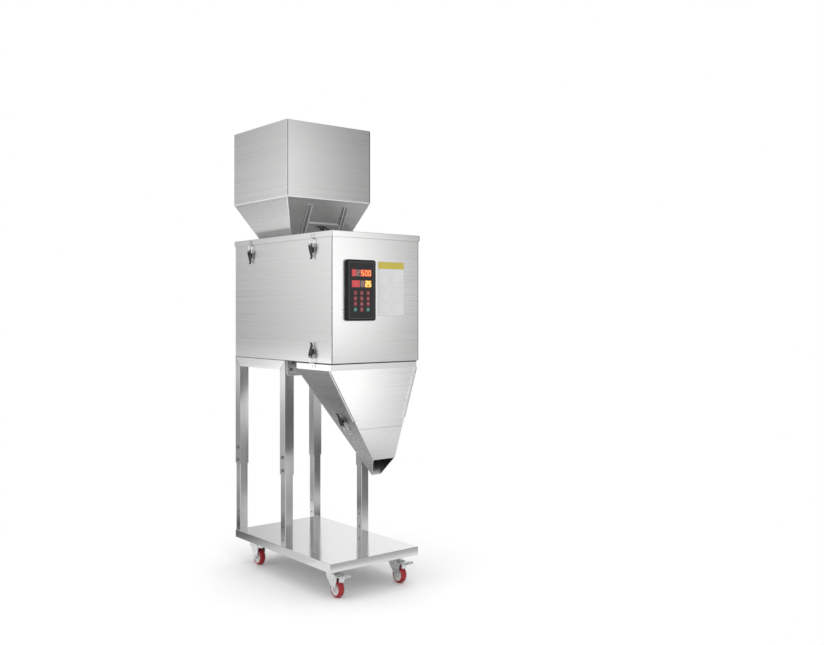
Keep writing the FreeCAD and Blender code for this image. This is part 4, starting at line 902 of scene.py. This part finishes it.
def glow_card(name, corners, axis, along_stops, height_stops, strength):
    """A lit board that the steel mirrors, with its brightness set along it and up it."""
    mesh = bpy.data.meshes.new(name)
    mesh.from_pydata(corners, [], [(0, 1, 2, 3)])
    card = bpy.data.objects.new(name, mesh)
    bpy.context.scene.collection.objects.link(card)
    shader = Shader(name)
    place = shader.add("ShaderNodeTexCoord")
    split = shader.add("ShaderNodeSeparateXYZ")
    shader.link(place, "Object", split, "Vector")
    along = grey_ramp(shader, split, axis, along_stops)
    height = grey_ramp(shader, split, "Z", height_stops)
    both = shader.add("ShaderNodeVectorMath", operation="MULTIPLY")
    shader.link(along, "Color", both, 0)
    shader.link(height, "Color", both, 1)
    glow = shader.add("ShaderNodeEmission")
    glow.inputs["Strength"].default_value = strength
    shader.link(both, "Vector", glow, "Color")
    shader.link(glow, "Emission", shader.output, "Surface")
    mesh.materials.append(shader.material)
    card.visible_camera = False
    card.visible_shadow = False
    card.visible_diffuse = False


make_floor()
make_world(0.95, 0.30)
MIDDLE = Vector((0, 0, 0.95))
soft_light("key", (-1.4, -3.0, 2.6), MIDDLE, 1.6, 2.2, 25)
soft_light("fill", (-3.2, 0.6, 1.8), MIDDLE, 1.6, 2.4, 15)
soft_light("top", (0.2, 0.2, 3.4), MIDDLE, 2.0, 2.0, 20)
FRONT_BOARD = FRONT - 0.9
SIDE_BOARD = -HALF - 0.9
REAR_BOARD = 2.5


def upright_x(name, y, x_range, z_range, along_stops, height_stops, strength):
    (x0, x1), (z0, z1) = x_range, z_range
    corners = [(x0, y, z0), (x1, y, z0), (x1, y, z1), (x0, y, z1)]
    glow_card(name, corners, "X", along_stops, height_stops, strength)


def upright_y(name, x, y_range, z_range, along_stops, height_stops, strength):
    (y0, y1), (z0, z1) = y_range, z_range
    corners = [(x, y0, z0), (x, y1, z0), (x, y1, z1), (x, y0, z1)]
    glow_card(name, corners, "Y", along_stops, height_stops, strength)


def flat(name, x_range, y_range, axis, along_stops, strength):
    """A card that lies just above the floor."""
    (x0, x1), (y0, y1) = x_range, y_range
    level = 12 * MM
    glow_card(name, [(x0, y0, level), (x1, y0, level), (x1, y1, level), (x0, y1, level)], axis, along_stops,
              ((0.0, 1.0), (0.1, 1.0)), strength)


EVEN = ((0.0, 1.0), (3.0, 1.0))
upright_x("front_board", FRONT_BOARD, (-0.2, 3.0), (0.70, 2.8),
          ((0.43, 1.0), (0.60, 0.78), (0.75, 0.50), (0.90, 0.25), (1.10, 0.15), (1.60, 0.10)),
          ((0.70, 0.62), (0.80, 0.84), (0.95, 0.97), (1.3, 0.92), (1.42, 0.78), (1.52, 0.66), (1.67, 0.80),
           (1.84, 0.61), (1.95, 0.53), (2.5, 0.25)), 2.1)
LEG_BOARDS = (
    ((-0.2, 0.615),
     ((0.0, 0.24), (0.07, 0.36), (0.13, 0.48), (0.19, 0.48), (0.25, 0.38), (0.31, 0.26), (0.40, 0.12),
      (0.50, 0.06), (0.58, 0.10), (0.64, 0.6), (0.7, 0.65))),
    ((0.615, 0.80),
     ((0.0, 0.15), (0.10, 0.13), (0.167, 0.03), (0.22, 0.10), (0.27, 0.30), (0.31, 0.50), (0.37, 0.76),
      (0.43, 0.72), (0.50, 0.5), (0.60, 0.60), (0.7, 0.60))),
    ((0.80, 1.083),
     ((0.0, 0.2), (0.06, 0.13), (0.15, 0.06), (0.24, 0.10), (0.34, 0.32), (0.43, 0.41), (0.7, 0.35))),
    ((1.083, 1.7),
     ((0.0, 0.06), (0.05, 0.05), (0.12, 0.06), (0.19, 0.11), (0.26, 0.26), (0.33, 0.36), (0.41, 0.38),
      (0.48, 0.26), (0.55, 0.4), (0.7, 0.6))),
)
for index, (x_range, height_stops) in enumerate(LEG_BOARDS):
    upright_x(f"leg_board_{index}", FRONT_BOARD, x_range, (0.015, 0.70), EVEN, height_stops, 1.8)
flat("front_card", (0.25, 1.6), (FRONT_BOARD + 0.01, -0.74), "X",
     ((0.25, 0.45), (0.32, 0.35), (0.42, 0.24), (0.5, 0.25), (0.65, 0.12), (0.8, 0.2), (1.0, 0.06),
      (1.4, 0.08)), 1.5)
flat("skirt_card", (-0.05, 0.7), (-0.70, -0.58), "X", ((-0.05, 0.38), (0.2, 0.5), (0.7, 0.5)), 1.0)
flat("front_card_far", (0.72, 1.6), (-0.74, -0.55), "X",
     ((0.72, 0.45), (0.85, 0.25), (1.05, 0.15), (1.6, 0.15)), 1.0)
flat("right_card", (0.24, 0.60), (-0.30, 0.28), "X",
     ((0.24, 0.25), (0.32, 0.12), (0.42, 0.10), (0.6, 0.3)), 1.0)
upright_y("side_board", SIDE_BOARD, (0.1, 4.0), (0.69, 2.8),
          ((0.95, 1.0), (1.30, 0.76), (1.70, 0.47), (2.0, 0.29), (2.2, 0.25), (3.0, 0.2)),
          ((0.69, 0.62), (0.76, 0.62), (0.85, 0.78), (1.25, 0.95), (1.55, 1.0), (1.95, 0.75),
           (2.6, 0.5)), 1.5)
upright_y("side_low_board", SIDE_BOARD, (0.1, 4.0), (0.015, 0.69),
          ((1.0, 1.0), (1.20, 0.97), (1.34, 0.45), (1.52, 0.33), (1.6, 0.30), (1.95, 0.25),
           (2.2, 0.26), (3.0, 0.2)),
          ((0.03, 0.40), (0.125, 0.39), (0.218, 0.41), (0.31, 0.41), (0.40, 0.46), (0.495, 0.67),
           (0.60, 0.98), (0.64, 0.85), (0.69, 0.72)), 3.4)
flat("funnel_card", (-0.70, -0.32), (0.1, 2.4), "Y",
     ((0.1, 0.80), (0.36, 0.72), (0.50, 0.38), (0.62, 0.20), (0.82, 0.10), (0.94, 0.2), (1.05, 0.42),
      (1.4, 0.4), (2.4, 0.9)), 1.0)
flat("leg_card", (SIDE_BOARD + 0.01, -0.70), (0.35, 2.4), "Y",
     ((0.35, 0.9), (0.60, 0.9), (0.85, 0.65), (1.1, 0.40), (1.30, 0.28), (1.60, 0.42), (1.90, 0.62),
      (2.4, 0.9)), 1.0)
upright_x("rear_board", REAR_BOARD, (0.6, 3.2), (0.3, 1.6),
          ((0.6, 0.5), (1.2, 0.64), (1.7, 0.95), (2.4, 1.0)), EVEN, 1.1)


SENSOR_WIDTH = 36
IMAGE_WIDTH = 824
FOCAL_PIXELS = 919.38
HORIZON_ROW = 312.0
IMAGE_MIDDLE_ROW = 322.5
CAMERA_YAW = 0.888
CAMERA_FROM_CABINET = (-1.8409, -2.4495, 0.1669)


def make_camera():
    data = bpy.data.cameras.new("camera")
    data.sensor_width = SENSOR_WIDTH
    data.sensor_fit = "HORIZONTAL"
    data.lens = SENSOR_WIDTH * FOCAL_PIXELS / IMAGE_WIDTH
    data.shift_y = (HORIZON_ROW - IMAGE_MIDDLE_ROW) / IMAGE_WIDTH
    data.clip_start = 0.05
    data.clip_end = 200
    camera = bpy.data.objects.new("camera", data)
    bpy.context.scene.collection.objects.link(camera)
    across, along, up = CAMERA_FROM_CABINET
    camera.location = (across, FRONT + along, BASE + up)
    camera.rotation_euler = (math.pi / 2, 0, CAMERA_YAW - math.pi / 2)
    bpy.context.scene.camera = camera


make_camera()
bpy.context.scene.view_settings.view_transform = "Standard"

bpy.context.view_layer.update()
